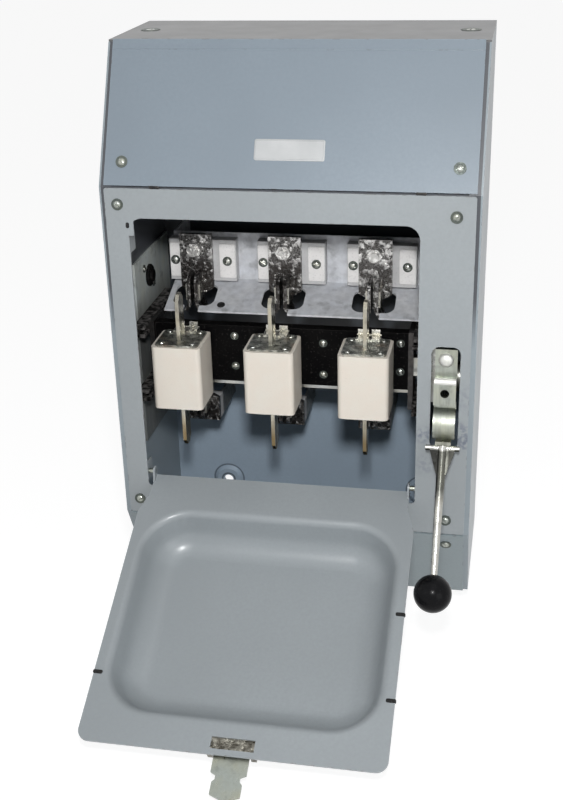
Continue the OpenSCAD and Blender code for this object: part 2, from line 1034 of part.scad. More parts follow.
module door_panel() {
    face_y = front_y - door_gap;
    color("lightgray")
        door_swing()
            difference() {
                union() {
                    along(face_y - sheet, face_y)
                        door_outline();
                    dish_place()
                        dish_solid(sheet);
                }
                dish_place()
                    dish_solid(0);
                along(face_y - sheet - 1, face_y + 1)
                    translate([latch_x, door_top - 9])
                        square([latch_slot_w, latch_slot_h], center = true);
                // short slits in the side rims
                for (slit = [[door_right, hinge_z + 112], [door_right, hinge_z + 182], [door_left, hinge_z + 182]])
                    block(slit[0] - 3.5, slit[0] + 3.5, face_y - sheet - 1, face_y + 1, slit[1] - 1, slit[1] + 1);
            }
}

door_ear_t = 1.5;

module door_ears() {
    color("lightgray")
        door_swing()
            for (x = [neck_left, neck_right - door_ear_t])
                difference() {
                    hull() {
                        block(x, x + door_ear_t, front_y - door_gap, front_y - door_gap + 1,
                            door_bottom, hinge_z + 8);
                        translate([x, hinge_y, hinge_z])
                            rotate([0, 90, 0])
                                cylinder(d = 9, h = door_ear_t, $fn = 32);
                    }
                    translate([x - 1, hinge_y, hinge_z])
                        rotate([0, 90, 0])
                            cylinder(d = pin_d, h = door_ear_t + 2);
                }
}

module door_pins() {
    color("silver") {
        translate([open_left - ear_w - 2, hinge_y, hinge_z])
            rotate([0, 90, 0])
                cylinder(d = pin_d, h = ear_w + 2 + neck_gap + door_ear_t);
        translate([neck_right - door_ear_t, hinge_y, hinge_z])
            rotate([0, 90, 0])
                cylinder(d = pin_d, h = ear_w + 2 + neck_gap + door_ear_t);
    }
}

latch_z = door_top - 4;
latch_pin_d = 2.8;
latch_pin_gap = 0.1;
knuckle_w = 4;

module latch_plate() {
    // a plate riveted over the outside of the latch slot, with two knuckles that carry the pin of the hasp
    face_y = front_y - door_gap - sheet;
    color("silver")
        door_swing() {
            block(latch_x - 18, latch_x + 18, face_y - 1, face_y, latch_z - 12, latch_z + 3);
            for (x = [latch_x - 18, latch_x + 18 - knuckle_w])
                difference() {
                    block(x, x + knuckle_w, face_y - 7, face_y, latch_z - 3, latch_z + 3);
                    translate([x - 1, face_y - 3.5, latch_z])
                        rotate([0, 90, 0])
                            cylinder(d = latch_pin_d + 2 * latch_pin_gap, h = knuckle_w + 2);
                }
        }
}

module latch_hasp() {
    face_y = front_y - door_gap - sheet;
    color("silver")
        door_swing() {
            translate([latch_x - 18, face_y - 3.5, latch_z])
                rotate([0, 90, 0])
                    cylinder(d = latch_pin_d, h = 36);
            along(face_y - 4.5, face_y - 2.5)
                translate([latch_x, latch_z])
                    polygon([
                        [-13, -2],
                        [13, -2],
                        [13, 15],
                        [9, 17],
                        [9, 20],
                        [11, 22],
                        [11, 31],
                        [3.5, 34],
                        [2, 39],
                        [-2, 39],
                        [-3.5, 34],
                        [-11, 31],
                        [-11, 22],
                        [-9, 20],
                        [-9, 17],
                        [-13, 15]
                    ]);
        }
}

back_wall();
left_wall();
right_wall();
top_wall();
bottom_wall();
seam_rails();
front_frame();
upper_cover();
lower_cover();
frame_ears();
upper_plate();
upper_insulators();
upper_jaws();
upper_springs();
lower_brackets();
lower_insulators();
lower_jaws();
lower_springs();
left_cheek();
right_cheek();
left_rails();
right_rails();
lever_shaft();
traverse();
traverse_strip();
left_slider();
right_slider();
yoke();
fuse_clips();
fuse_body_1();
fuse_body_2();
fuse_body_3();
fuse_ends();
fuse_blades();
lever_hub();
lever_strap();
lever_shield();
lever_rod();
lever_knob();
door_panel();
door_ears();
door_pins();
latch_plate();
latch_hasp();
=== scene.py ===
import json
import math

import bmesh
import bpy
from mathutils import Matrix, Vector


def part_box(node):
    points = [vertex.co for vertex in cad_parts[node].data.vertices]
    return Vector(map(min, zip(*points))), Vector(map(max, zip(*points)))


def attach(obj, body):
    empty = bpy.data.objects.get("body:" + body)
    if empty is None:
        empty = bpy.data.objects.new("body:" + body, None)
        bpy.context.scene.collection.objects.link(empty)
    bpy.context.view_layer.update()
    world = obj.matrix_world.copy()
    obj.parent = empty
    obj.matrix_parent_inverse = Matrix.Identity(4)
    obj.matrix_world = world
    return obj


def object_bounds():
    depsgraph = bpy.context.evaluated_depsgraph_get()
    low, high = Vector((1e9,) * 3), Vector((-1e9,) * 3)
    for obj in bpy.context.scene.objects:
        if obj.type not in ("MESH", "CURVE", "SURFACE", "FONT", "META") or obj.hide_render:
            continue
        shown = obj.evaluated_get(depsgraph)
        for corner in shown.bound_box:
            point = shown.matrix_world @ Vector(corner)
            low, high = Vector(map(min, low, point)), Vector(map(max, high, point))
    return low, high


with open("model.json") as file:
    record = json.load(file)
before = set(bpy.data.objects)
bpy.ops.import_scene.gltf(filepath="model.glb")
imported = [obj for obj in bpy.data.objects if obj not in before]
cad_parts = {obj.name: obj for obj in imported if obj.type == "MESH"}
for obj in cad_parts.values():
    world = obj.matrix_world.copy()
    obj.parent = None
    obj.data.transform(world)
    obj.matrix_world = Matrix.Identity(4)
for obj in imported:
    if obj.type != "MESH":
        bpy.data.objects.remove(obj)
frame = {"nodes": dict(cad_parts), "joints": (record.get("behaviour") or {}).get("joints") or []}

cad_low, cad_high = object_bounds()


# ---------------------------------------------------------------------------
# The studio: a pale floor that reads as white, an even pale surround, a small
# lamp just above the camera and three wide soft boxes further out.
# ---------------------------------------------------------------------------
camera_place = Vector((0.1705, -1.0264, 0.3697))
camera_right = Vector((0.98154635, 0.1895113, -0.02553896))
camera_down = Vector((0.05507141, -0.40804319, -0.91130011))
camera_ahead = Vector((-0.18312266, 0.89307683, -0.41094996))
focal_by_height = 1.5275

camera_data = bpy.data.cameras.new("camera")
camera_data.sensor_fit = "VERTICAL"
camera_data.sensor_height = 24.0
camera_data.lens = focal_by_height * camera_data.sensor_height
camera_data.clip_start = 0.01
camera = bpy.data.objects.new("camera", camera_data)
turn = Matrix((camera_right, -camera_down, -camera_ahead)).transposed().to_4x4()
camera.matrix_world = Matrix.Translation(camera_place) @ turn
bpy.context.scene.collection.objects.link(camera)
bpy.context.scene.camera = camera
bpy.context.scene.view_settings.view_transform = "Standard"


def feed(tree, value, socket):
    """A socket is linked to another socket, or set to a plain value."""
    if isinstance(value, bpy.types.NodeSocket):
        tree.links.new(value, socket)
    else:
        socket.default_value = value


def add_node(tree, kind, setup=None, **sockets):
    """A shader node with its settings, and its sockets set or linked by name."""
    made = tree.nodes.new("ShaderNode" + kind)
    for key, value in (setup or {}).items():
        setattr(made, key, value)
    for key, value in sockets.items():
        feed(tree, value, made.inputs[key.replace("_", " ")])
    return made


def new_material(name):
    """A material, its node tree and its Principled shader, joined to the output."""
    material = bpy.data.materials.new(name)
    material.use_nodes = True
    tree = material.node_tree
    tree.nodes.clear()
    shader = add_node(tree, "BsdfPrincipled")
    add_node(tree, "OutputMaterial", Surface=shader.outputs["BSDF"])
    return material, tree, shader


def seen_directly(tree):
    """1 for a ray from the camera, off a gloss or through glass, and 0 for light that bounces."""
    path = add_node(tree, "LightPath")
    seen = path.outputs["Is Camera Ray"]
    for kind in ("Is Glossy Ray", "Is Transmission Ray"):
        either = add_node(tree, "Math", {"operation": "MAXIMUM"})
        tree.links.new(seen, either.inputs[0])
        tree.links.new(path.outputs[kind], either.inputs[1])
        seen = either.outputs[0]
    return seen


def either_shader(tree, amount, first, second):
    """The first shader where the amount is 0 and the second where it is 1."""
    choice = add_node(tree, "MixShader")
    for index, value in enumerate((amount, first, second)):
        tree.links.new(value, choice.inputs[index])
    return choice.outputs[0]


white = (1, 1, 1, 1)
floor_gap = 0.004
floor_half = 6.0
floor_z = cad_low.z - floor_gap
floor_mesh = bpy.data.meshes.new("floor")
floor_corners = [(x * floor_half, y * floor_half, floor_z) for x, y in ((-1, -1), (1, -1), (1, 1), (-1, 1))]
floor_mesh.from_pydata(floor_corners, [], [(0, 1, 2, 3)])
floor = bpy.data.objects.new("floor", floor_mesh)
bpy.context.scene.collection.objects.link(floor)

# the floor is matt and pale for light that bounces off it, and white with a faint shadow where it is seen
floor_pale, tree, shader = new_material("floor_pale")
shader.inputs["Base Color"].default_value = (0.9, 0.9, 0.9, 1)
shader.inputs["Roughness"].default_value = 1.0
shader.inputs["Specular IOR Level"].default_value = 0.0
glow = add_node(tree, "Emission", Color=white, Strength=0.9)
shade = add_node(tree, "BsdfDiffuse", Color=(0.25, 0.25, 0.25, 1))
lit = add_node(tree, "AddShader")
tree.links.new(glow.outputs[0], lit.inputs[0])
tree.links.new(shade.outputs[0], lit.inputs[1])
floor_shader = either_shader(tree, seen_directly(tree), shader.outputs[0], lit.outputs[0])
tree.links.new(floor_shader, tree.nodes["Material Output"].inputs["Surface"])
floor_mesh.materials.append(floor_pale)

surround = bpy.data.worlds.new("surround")
surround.use_nodes = True
bpy.context.scene.world = surround
tree = surround.node_tree
tree.nodes.clear()
dim = add_node(tree, "Background", Color=white, Strength=0.14)
bright = add_node(tree, "Background", Color=white, Strength=1.0)
surround_shader = either_shader(tree, seen_directly(tree), dim.outputs[0], bright.outputs[0])
add_node(tree, "OutputWorld", Surface=surround_shader)


def lamp(name, place, aim, size, power):
    """A square lamp at place, turned towards aim."""
    data = bpy.data.lights.new(name, "AREA")
    data.shape = "SQUARE"
    data.size = size
    data.energy = power
    made = bpy.data.objects.new(name, data)
    made.location = place
    made.rotation_euler = (Vector(aim) - Vector(place)).to_track_quat("-Z", "Y").to_euler()
    bpy.context.scene.collection.objects.link(made)


box_middle = (0.0, -0.12, 0.0)
over_camera = 0.15
lamp("front_lamp", camera_place - camera_down * over_camera, box_middle, size=0.08, power=6.2)
lamp("left_lamp", (-1.6, -1.7, 1.1), box_middle, size=1.4, power=2.6)
lamp("right_lamp", (1.35, -1.45, 0.3), box_middle, size=1.0, power=4.5)
lamp("top_lamp", (0.4, -0.7, 2.0), box_middle, size=1.2, power=2.5)


# ---------------------------------------------------------------------------
# The shell: 1.5 mm steel sheet, folded at its corners, spot welded and stove
# enamelled blue-grey all over, with a screwed front frame and two sloping covers.
# ---------------------------------------------------------------------------
def place_of(tree, stretch=(1, 1, 1)):
    """Object coordinates, stretched along the axes."""
    coords = add_node(tree, "TexCoord")
    mapping = add_node(tree, "Mapping", Vector=coords.outputs["Object"], Scale=stretch)
    return mapping.outputs["Vector"]


def cloud(tree, place, scale, detail=3.0, low=0.3, high=0.7):
    """Soft noise spread to 0..1 between the two levels."""
    noise = add_node(tree, "TexNoise", Vector=place, Scale=scale, Detail=detail)
    spread = add_node(tree, "MapRange", Value=noise.outputs["Fac"], From_Min=low, From_Max=high)
    return spread.outputs["Result"]


def tinted(tree, amount, first, second):
    """Two colours mixed by an amount; each is a colour or a socket."""
    mix = add_node(tree, "Mix", {"data_type": "RGBA", "blend_type": "MIX", "clamp_factor": True})
    feed(tree, amount, mix.inputs[0])
    for index, value in ((6, first), (7, second)):
        feed(tree, value if isinstance(value, bpy.types.NodeSocket) else (*value, 1), mix.inputs[index])
    return mix.outputs[2]


def times(tree, first, second):
    """The product of two amounts."""
    product = add_node(tree, "Math", {"operation": "MULTIPLY"})
    feed(tree, first, product.inputs[0])
    feed(tree, second, product.inputs[1])
    return product.outputs[0]


def edges_of(tree, width):
    """How near a point is to an outer or inner edge, from 0 on the flat to 1 on the edge."""
    flat, sharp = 0.99, 0.82
    rounded = add_node(tree, "Bevel", {"samples": 6}, Radius=width)
    surface = add_node(tree, "NewGeometry")
    alike = add_node(tree, "VectorMath", {"operation": "DOT_PRODUCT"})
    tree.links.new(rounded.outputs["Normal"], alike.inputs[0])
    tree.links.new(surface.outputs["Normal"], alike.inputs[1])
    spread = add_node(tree, "MapRange", Value=alike.outputs["Value"], From_Min=flat, From_Max=sharp)
    return spread.outputs["Result"]


def dented(tree, shader, height, strength, distance, under=None):
    """A bump on the shader from a height, over another bump if there is one."""
    bump = add_node(tree, "Bump", Height=height, Strength=strength, Distance=distance)
    if under is not None:
        tree.links.new(under, bump.inputs["Normal"])
    tree.links.new(bump.outputs["Normal"], shader.inputs["Normal"])
    return bump.outputs["Normal"]


def rough_between(tree, shader, amount, low, high):
    """Roughness that runs from low to high with an amount."""
    spread = add_node(tree, "MapRange", Value=amount, To_Min=low, To_Max=high)
    tree.links.new(spread.outputs["Result"], shader.inputs["Roughness"])


def shaded(colour, factor, most=1.0):
    """A colour made darker or paler, with no part above the most."""
    return tuple(min(most, part * factor) for part in colour)


def enamel(name, colour, rough=0.4):
    """Stove enamel: slightly uneven colour, orange peel, thin and chipped on the edges."""
    material, tree, shader = new_material(name)
    here = place_of(tree)
    broad = cloud(tree, here, scale=7.0, detail=2.0)
    speck = cloud(tree, here, scale=420.0, detail=2.0)
    coat = tinted(tree, broad, shaded(colour, 0.93), shaded(colour, 1.05))
    coat = tinted(tree, times(tree, speck, 0.5), coat, shaded(colour, 0.91))
    edge = edges_of(tree, width=0.0012)
    coat = tinted(tree, times(tree, edge, 0.45), coat, shaded(colour, 1.22))
    chip = times(tree, edge, cloud(tree, here, scale=170.0, detail=4.0, low=0.58, high=0.63))
    coat = tinted(tree, times(tree, chip, 0.75), coat, (0.13, 0.115, 0.1))
    tree.links.new(coat, shader.inputs["Base Color"])
    gloss = cloud(tree, here, scale=38.0, detail=3.0, low=0.0, high=1.0)
    rough_between(tree, shader, gloss, rough - 0.06, rough + 0.1)
    peel = dented(tree, shader, cloud(tree, here, scale=640.0, detail=1.0), strength=0.10, distance=0.0002)
    waves = cloud(tree, here, scale=16.0, detail=1.0, low=0.0, high=1.0)
    dented(tree, shader, waves, strength=0.25, distance=0.0015, under=peel)
    shader.inputs["Coat Weight"].default_value = 0.25
    shader.inputs["Coat Roughness"].default_value = 0.22
    return material


def finish_node(material, *names):
    """A CAD node takes a material in every slot."""
    for name in names:
        slots = frame["nodes"][name].data.materials
        for index in range(len(slots)):
            slots[index] = material


def along(tree, axis, low, high):
    """From 0 at one coordinate to 1 at another, in metres along an axis."""
    coords = add_node(tree, "TexCoord")
    parts = add_node(tree, "SeparateXYZ", Vector=coords.outputs["Object"])
    spread = add_node(tree, "MapRange", Value=parts.outputs[axis], From_Min=low, From_Max=high)
    return spread.outputs["Result"]


def far_from(tree, place):
    """The distance from a place."""
    coords = add_node(tree, "TexCoord")
    gap = add_node(tree, "VectorMath", {"operation": "DISTANCE"})
    tree.links.new(coords.outputs["Object"], gap.inputs[0])
    gap.inputs[1].default_value = place
    return gap.outputs["Value"]


def overlaid(material, amount, strength, colour):
    """One more colour laid over a material by an amount made in its tree, at most by the strength."""
    tree = material.node_tree
    base = tree.nodes["Principled BSDF"].inputs["Base Color"]
    tree.links.new(tinted(tree, times(tree, amount, strength), base.links[0].from_socket, colour), base)


def soiled_near(material, place, reach, strength, colour, core=0.3):
    """Smudges within reach of a place, full within the core's share of the reach."""
    tree = material.node_tree
    fade = add_node(tree, "MapRange", Value=far_from(tree, place), From_Min=reach, From_Max=reach * core)
    smear = cloud(tree, place_of(tree), scale=260.0, detail=5.0, low=0.42, high=0.6)
    overlaid(material, times(tree, fade.outputs["Result"], smear), strength, colour)


def inner_face(tree):
    """1 on the back wall's inner face and what stands on it, 0 on its outer face."""
    outer_skin, inner_skin = -0.0004, -0.0008
    return along(tree, "Y", outer_skin, inner_skin)


def ringed(material, place, radius, width, strength, colour, core=0.3):
    """A thin painted dark ring about a place on the back wall's inner face, standing for shade at an edge.
    """
    tree = material.node_tree
    off = add_node(tree, "Math", {"operation": "SUBTRACT"})
    tree.links.new(far_from(tree, place), off.inputs[0])
    off.inputs[1].default_value = radius
    size = add_node(tree, "Math", {"operation": "ABSOLUTE"})
    tree.links.new(off.outputs[0], size.inputs[0])
    line = add_node(tree, "MapRange", Value=size.outputs[0], From_Min=width, From_Max=width * core)
    overlaid(material, times(tree, line.outputs["Result"], inner_face(tree)), strength, colour)


cover_enamel = enamel("cover_enamel", (0.232, 0.281, 0.329))
frame_enamel = enamel("frame_enamel", (0.335, 0.365, 0.382))
shell_enamel = enamel("shell_enamel", (0.288, 0.335, 0.366))
inside_enamel = enamel("inside_enamel", (0.375, 0.465, 0.56))

# painted shade: the back wall is darkened nearly to black behind the contacts, and painted dark rings stand
# for shade at the edges of its two lower wall-screw seats and their holes
back_shade_from, back_shade_full = -0.050, -0.034
tree = inside_enamel.node_tree
back_wall_shade = times(tree, along(tree, "Z", back_shade_from, back_shade_full), inner_face(tree))
overlaid(inside_enamel, back_wall_shade, 0.93, (0.012, 0.012, 0.014))
seat_x, seat_y, seat_z = 0.0935, -0.0045, -0.188
for side in (-seat_x, seat_x):
    seat = (side, seat_y, seat_z)
    ringed(inside_enamel, seat, radius=0.0148, width=0.0011, strength=0.75, colour=(0.06, 0.075, 0.10))
    ringed(inside_enamel, seat, radius=0.0062, width=0.0012, strength=0.8, colour=(0.05, 0.055, 0.065))

# painted shade: the side walls are darkened on their inner faces above the carriage
wall_outer, wall_inner = 0.14260, 0.14254
side_shade_from, side_shade_full = 0.02, 0.06
tree = shell_enamel.node_tree
within = times(tree, along(tree, "X", -wall_outer, -wall_inner), along(tree, "X", wall_outer, wall_inner))
within = times(tree, within, along(tree, "Z", side_shade_from, side_shade_full))
overlaid(shell_enamel, within, 0.85, (0.03, 0.028, 0.035))

# greasy smudges about the foot of the lever's slot: x, z, reach and strength of each
frame_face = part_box("front_frame")[0].y
smudges = ((0.134, -0.049, 0.013, 0.8), (0.139, -0.057, 0.009, 0.85), (0.106, -0.052, 0.009, 0.8),
           (0.133, -0.020, 0.016, 0.3), (0.108, -0.078, 0.012, 0.35))
for x, z, reach, strength in smudges:
    soiled_near(frame_enamel, (x, frame_face, z), reach, strength, (0.13, 0.15, 0.20))

finish_node(cover_enamel, "upper_cover")
finish_node(enamel("skirt_enamel", (0.28, 0.332, 0.352)), "lower_cover")
finish_node(frame_enamel, "front_frame", "frame_ears")
finish_node(shell_enamel, "left_wall", "right_wall", "bottom_wall", "seam_rails")
# painted shade: the roof takes a much darker copy of the enamel for its upward face
finish_node(enamel("roof_enamel_shaded", (0.125, 0.127, 0.13)), "top_wall")
finish_node(inside_enamel, "back_wall")


# ---------------------------------------------------------------------------
# The cover screws: slotted zinc-plated screws with a washer each, two on the
# hood, two on the roof, four on the front frame and two on the lower cover.
# ---------------------------------------------------------------------------
def zinc(name, colour, warm=0.35, rough=0.3, stretch=(1, 1, 1), grain=300.0, metal=1.0, bump=0.18):
    """Zinc plating: faint yellow and blue clouds, fine grain, brighter on the edges."""
    material, tree, shader = new_material(name)
    here = place_of(tree, stretch)
    plain = place_of(tree)
    tint = cloud(tree, plain, scale=60.0, detail=2.0, low=0.35, high=0.65)
    yellow = (colour[0] * 1.03, colour[1] * 0.98, colour[2] * 0.78)
    bluish = (colour[0] * 0.9, colour[1] * 0.97, colour[2] * 1.02)
    coat = tinted(tree, tint, bluish, yellow)
    coat = tinted(tree, 1.0 - warm, coat, colour)
    grains = cloud(tree, here, scale=grain, detail=4.0, low=0.35, high=0.65)
    coat = tinted(tree, times(tree, grains, 0.45), coat, shaded(colour, 0.55))
    edge = edges_of(tree, width=0.0006)
    coat = tinted(tree, times(tree, edge, 0.5), coat, shaded(colour, 1.35, most=0.95))
    soiled = cloud(tree, plain, scale=95.0, detail=5.0, low=0.56, high=0.7)
    coat = tinted(tree, times(tree, soiled, 0.55), coat, shaded(colour, 0.35))
    tree.links.new(coat, shader.inputs["Base Color"])
    shader.inputs["Metallic"].default_value = metal
    rough_between(tree, shader, grains, rough - 0.06, rough + 0.14)
    dented(tree, shader, grains, strength=bump, distance=0.0002)
    return material


def input_node(tree, name):
    """The named point attribute as a vector."""
    made = tree.nodes.new("GeometryNodeInputNamedAttribute")
    made.data_type = "FLOAT_VECTOR"
    made.inputs["Name"].default_value = name
    return made.outputs["Attribute"]


def fixing_tree(name, sizes):
    """An empty geometry tree with named size inputs, and its group input and output."""
    tree = bpy.data.node_groups.new(name, "GeometryNodeTree")
    tree.interface.new_socket(name="Points", in_out="INPUT", socket_type="NodeSocketGeometry")
    for label in sizes:
        tree.interface.new_socket(name=label, in_out="INPUT", socket_type="NodeSocketFloat")
    tree.interface.new_socket(name="Seed", in_out="INPUT", socket_type="NodeSocketInt")
    tree.interface.new_socket(name="Finish", in_out="INPUT", socket_type="NodeSocketMaterial")
    tree.interface.new_socket(name="Washer Finish", in_out="INPUT", socket_type="NodeSocketMaterial")
    tree.interface.new_socket(name="Pieces", in_out="OUTPUT", socket_type="NodeSocketGeometry")
    return tree, tree.nodes.new("NodeGroupInput"), tree.nodes.new("NodeGroupOutput")


def sized(tree, x, y, z):
    """Three amounts joined into a vector."""
    made = tree.nodes.new("ShaderNodeCombineXYZ")
    for index, value in enumerate((x, y, z)):
        feed(tree, value, made.inputs[index])
    return made.outputs[0]


def moved(tree, shape, shift=None, scale=None):
    """A shape shifted and scaled inside a geometry tree."""
    made = tree.nodes.new("GeometryNodeTransform")
    tree.links.new(shape, made.inputs["Geometry"])
    if shift is not None:
        tree.links.new(shift, made.inputs["Translation"])
    if scale is not None:
        tree.links.new(scale, made.inputs["Scale"])
    return made.outputs["Geometry"]


def set_on_points(tree, given, shape, spin):
    """The shape on every point, standing along the point's aim, turned at random about it."""
    stand = tree.nodes.new("FunctionNodeAlignRotationToVector")
    stand.axis = "Z"
    tree.links.new(input_node(tree, "aim"), stand.inputs["Vector"])
    chance = tree.nodes.new("FunctionNodeRandomValue")
    chance.data_type = "FLOAT"
    ends = [socket for socket in chance.inputs if socket.type == "VALUE" and socket.name in ("Min", "Max")]
    ends[0].default_value = 0.0
    ends[1].default_value = spin
    tree.links.new(given.outputs["Seed"], chance.inputs["Seed"])
    turned = [socket for socket in chance.outputs if socket.type == "VALUE"][0]
    euler = tree.nodes.new("FunctionNodeEulerToRotation")
    tree.links.new(sized(tree, 0.0, 0.0, turned), euler.inputs[0])
    both = tree.nodes.new("FunctionNodeRotateRotation")
    both.rotation_space = "LOCAL"
    tree.links.new(stand.outputs[0], both.inputs[0])
    tree.links.new(euler.outputs[0], both.inputs[1])
    copies = tree.nodes.new("GeometryNodeInstanceOnPoints")
    tree.links.new(given.outputs["Points"], copies.inputs["Points"])
    tree.links.new(shape, copies.inputs["Instance"])
    tree.links.new(both.outputs[0], copies.inputs["Rotation"])
    real = tree.nodes.new("GeometryNodeRealizeInstances")
    tree.links.new(copies.outputs[0], real.inputs[0])
    return real.outputs[0]


def dressed_in(tree, shape, finish):
    """The shape with one material all over."""
    made = tree.nodes.new("GeometryNodeSetMaterial")
    tree.links.new(shape, made.inputs["Geometry"])
    tree.links.new(finish, made.inputs["Material"])
    return made.outputs[0]


def round_head(tree, radius, height, segments):
    """A ball flattened to the height of a fixing's head."""
    ball = tree.nodes.new("GeometryNodeMeshUVSphere")
    ball.inputs["Segments"].default_value = segments
    ball.inputs["Rings"].default_value = 12
    ball.inputs["Radius"].default_value = 1.0
    return moved(tree, ball.outputs["Mesh"], scale=sized(tree, radius, radius, height))


def slotted_screw_tree():
    """A low domed head with a slot across it, on a washer."""
    sizes = ("Head Radius", "Head Height", "Slot Width", "Slot Depth", "Washer Radius", "Washer Height")
    tree, given, leaving = fixing_tree("slotted_screw", sizes)
    head_r, head_h, slot_w, slot_d, washer_r, washer_h = (given.outputs[label] for label in sizes)
    head = round_head(tree, head_r, head_h, segments=24)
    bar = tree.nodes.new("GeometryNodeMeshCube")
    bar_size = sized(tree, times(tree, head_r, 2.4), slot_w, times(tree, slot_d, 2.0))
    tree.links.new(bar_size, bar.inputs["Size"])
    slot = moved(tree, bar.outputs["Mesh"], shift=sized(tree, 0.0, 0.0, head_h))
    cut = tree.nodes.new("GeometryNodeMeshBoolean")
    cut.operation = "DIFFERENCE"
    tree.links.new(head, cut.inputs[0])
    tree.links.new(slot, cut.inputs[1])
    disc = tree.nodes.new("GeometryNodeMeshCylinder")
    disc.inputs["Vertices"].default_value = 28
    tree.links.new(washer_r, disc.inputs["Radius"])
    tree.links.new(times(tree, washer_h, 2.0), disc.inputs["Depth"])
    heads = set_on_points(tree, given, cut.outputs["Mesh"], math.pi)
    discs = set_on_points(tree, given, disc.outputs["Mesh"], math.pi)
    joined = tree.nodes.new("GeometryNodeJoinGeometry")
    tree.links.new(dressed_in(tree, heads, given.outputs["Finish"]), joined.inputs[0])
    tree.links.new(dressed_in(tree, discs, given.outputs["Washer Finish"]), joined.inputs[0])
    tree.links.new(joined.outputs[0], leaving.inputs["Pieces"])
    return tree


def show(piece, body):
    """A finished piece is linked into the scene and rides on its body."""
    bpy.context.scene.collection.objects.link(piece)
    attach(piece, body)


def fix_on(name, tree, places, aims, body, slot, finish, seed=1, **sizes):
    """Fixings from a geometry tree set on places, made one plain mesh that rides on a body."""
    points = bpy.data.meshes.new(name + "_places")
    points.from_pydata([tuple(place) for place in places], [], [])
    aim = points.attributes.new("aim", "FLOAT_VECTOR", "POINT")
    for index, direction in enumerate(aims):
        aim.data[index].vector = direction
    maker = bpy.data.objects.new(name + "_maker", points)
    bpy.context.scene.collection.objects.link(maker)
    modifier = maker.modifiers.new("fixings", "NODES")
    modifier.node_group = tree
    wanted = {key.replace("_", " ").title(): value for key, value in sizes.items()}
    wanted["Seed"] = seed
    wanted["Finish"] = finish
    wanted["Washer Finish"] = washer_shade_zinc
    for item in tree.interface.items_tree:
        if item.item_type == "SOCKET" and item.in_out == "INPUT" and item.name in wanted:
            modifier[item.identifier] = wanted[item.name]
    bpy.context.view_layer.update()
    evaluated = maker.evaluated_get(bpy.context.evaluated_depsgraph_get())
    mesh = bpy.data.meshes.new_from_object(evaluated)
    bpy.data.objects.remove(maker)
    mesh.name = name
    mesh.shade_smooth()
    mesh.set_sharp_from_angle(angle=math.radians(38))
    show(bpy.data.objects.new(name, mesh), body)


def mm(x, y, z):
    """A point given in millimetres."""
    return Vector((x, y, z)) / 1000.0


def halfway(first, second):
    """The middle of two coordinates given in metres, in millimetres."""
    return (first + second) * 500.0


def cover_sheet(node_name, up):
    """The outer face of a sloping cover: a point on its near edge, its way up the slope, its outward way."""
    mesh = frame["nodes"][node_name].data
    outer = max(mesh.polygons, key=lambda face: -face.normal.y * face.area)
    outward = outer.normal.copy()
    slope = outward.cross(Vector((1, 0, 0))).normalized()
    if slope.z * up < 0:
        slope.negate()
    heights = [(mesh.vertices[index].co @ slope, index) for index in outer.vertices]
    near = mesh.vertices[min(heights)[1]].co.copy()
    near.x = 0.0
    return near, slope, outward


def on_cover(sheet, x, climb, proud=0.0):
    """A point on a cover's outer face, x across and climb up the slope, in millimetres."""
    near, slope, outward = sheet
    return near + slope * (climb / 1000.0) + outward * (proud / 1000.0) + Vector((x / 1000.0, 0, 0))


hood_sheet = cover_sheet("upper_cover", 1)
skirt_sheet = cover_sheet("lower_cover", -1)
front_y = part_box("front_frame")[0].y * 1000.0
roof_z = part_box("top_wall")[1].z * 1000.0
forward = Vector((0, -1, 0))
upward = Vector((0, 0, 1))

screw_zinc = zinc("screw_zinc", (0.55, 0.56, 0.53), rough=0.26, grain=500.0)
# painted shade: the washers take a dark zinc, for the dark ring about each screw head
washer_shade_zinc = zinc("washer_shade_zinc", (0.12, 0.135, 0.125), rough=0.45, grain=500.0)
cover_zinc = zinc("cover_zinc", (0.40, 0.42, 0.39), rough=0.3, grain=500.0)
slotted_screws = slotted_screw_tree()
hood_screw_x, hood_screw_up = 126.7, 18.0
skirt_screw_x, skirt_screw_up = 125.6, 13.0
roof_screw_x, roof_screw_y = 126.5, -56.0
frame_screws = ((-130, 127), (126, 124), (125, -127), (-131, -127))
screw_spots = [on_cover(hood_sheet, x, hood_screw_up) for x in (-hood_screw_x, hood_screw_x)]
screw_aims = [hood_sheet[2]] * 2
screw_spots += [mm(x, front_y, z) for x, z in frame_screws]
screw_aims += [forward] * len(frame_screws)
screw_spots += [on_cover(skirt_sheet, x, skirt_screw_up) for x in (-skirt_screw_x, skirt_screw_x)]
screw_aims += [skirt_sheet[2]] * 2
fix_on("cover_screws", slotted_screws, screw_spots, screw_aims, "box", "zinc", cover_zinc, seed=4,
       head_radius=0.0030, head_height=0.0019, slot_width=0.0009, slot_depth=0.0012,
       washer_radius=0.0046, washer_height=0.0006)
roof_spots = [mm(x, roof_screw_y, roof_z) for x in (-roof_screw_x, roof_screw_x)]
fix_on("roof_screws", slotted_screws, roof_spots, [upward] * 2, "box", "zinc", screw_zinc, seed=7,
       head_radius=0.0040, head_height=0.0006, slot_width=0.0009, slot_depth=0.0004,
       washer_radius=0.0078, washer_height=0.0003)


# ---------------------------------------------------------------------------
# The hood's trim: a bare rating plate pressed from thin aluminium, the bead
# where the sheet was folded, two blackened spring clips in the seam, and the
# drilled lug that is left at the upper left corner of the opening, its hole
# filled with a black disc as painted shade.
# ---------------------------------------------------------------------------
def solid_mesh(name, points, faces, material, smooth_below=35):
    """A closed mesh with its faces turned outwards and smooth across gentle bends."""
    mesh = bpy.data.meshes.new(name)
    mesh.from_pydata([tuple(point) for point in points], [], faces)
    work = bmesh.new()
    work.from_mesh(mesh)
    bmesh.ops.remove_doubles(work, verts=work.verts, dist=1e-7)
    bmesh.ops.recalc_face_normals(work, faces=work.faces)
    work.to_mesh(mesh)
    work.free()
    mesh.shade_smooth()
    mesh.set_sharp_from_angle(angle=math.radians(smooth_below))
    mesh.materials.append(material)
    return bpy.data.objects.new(name, mesh)


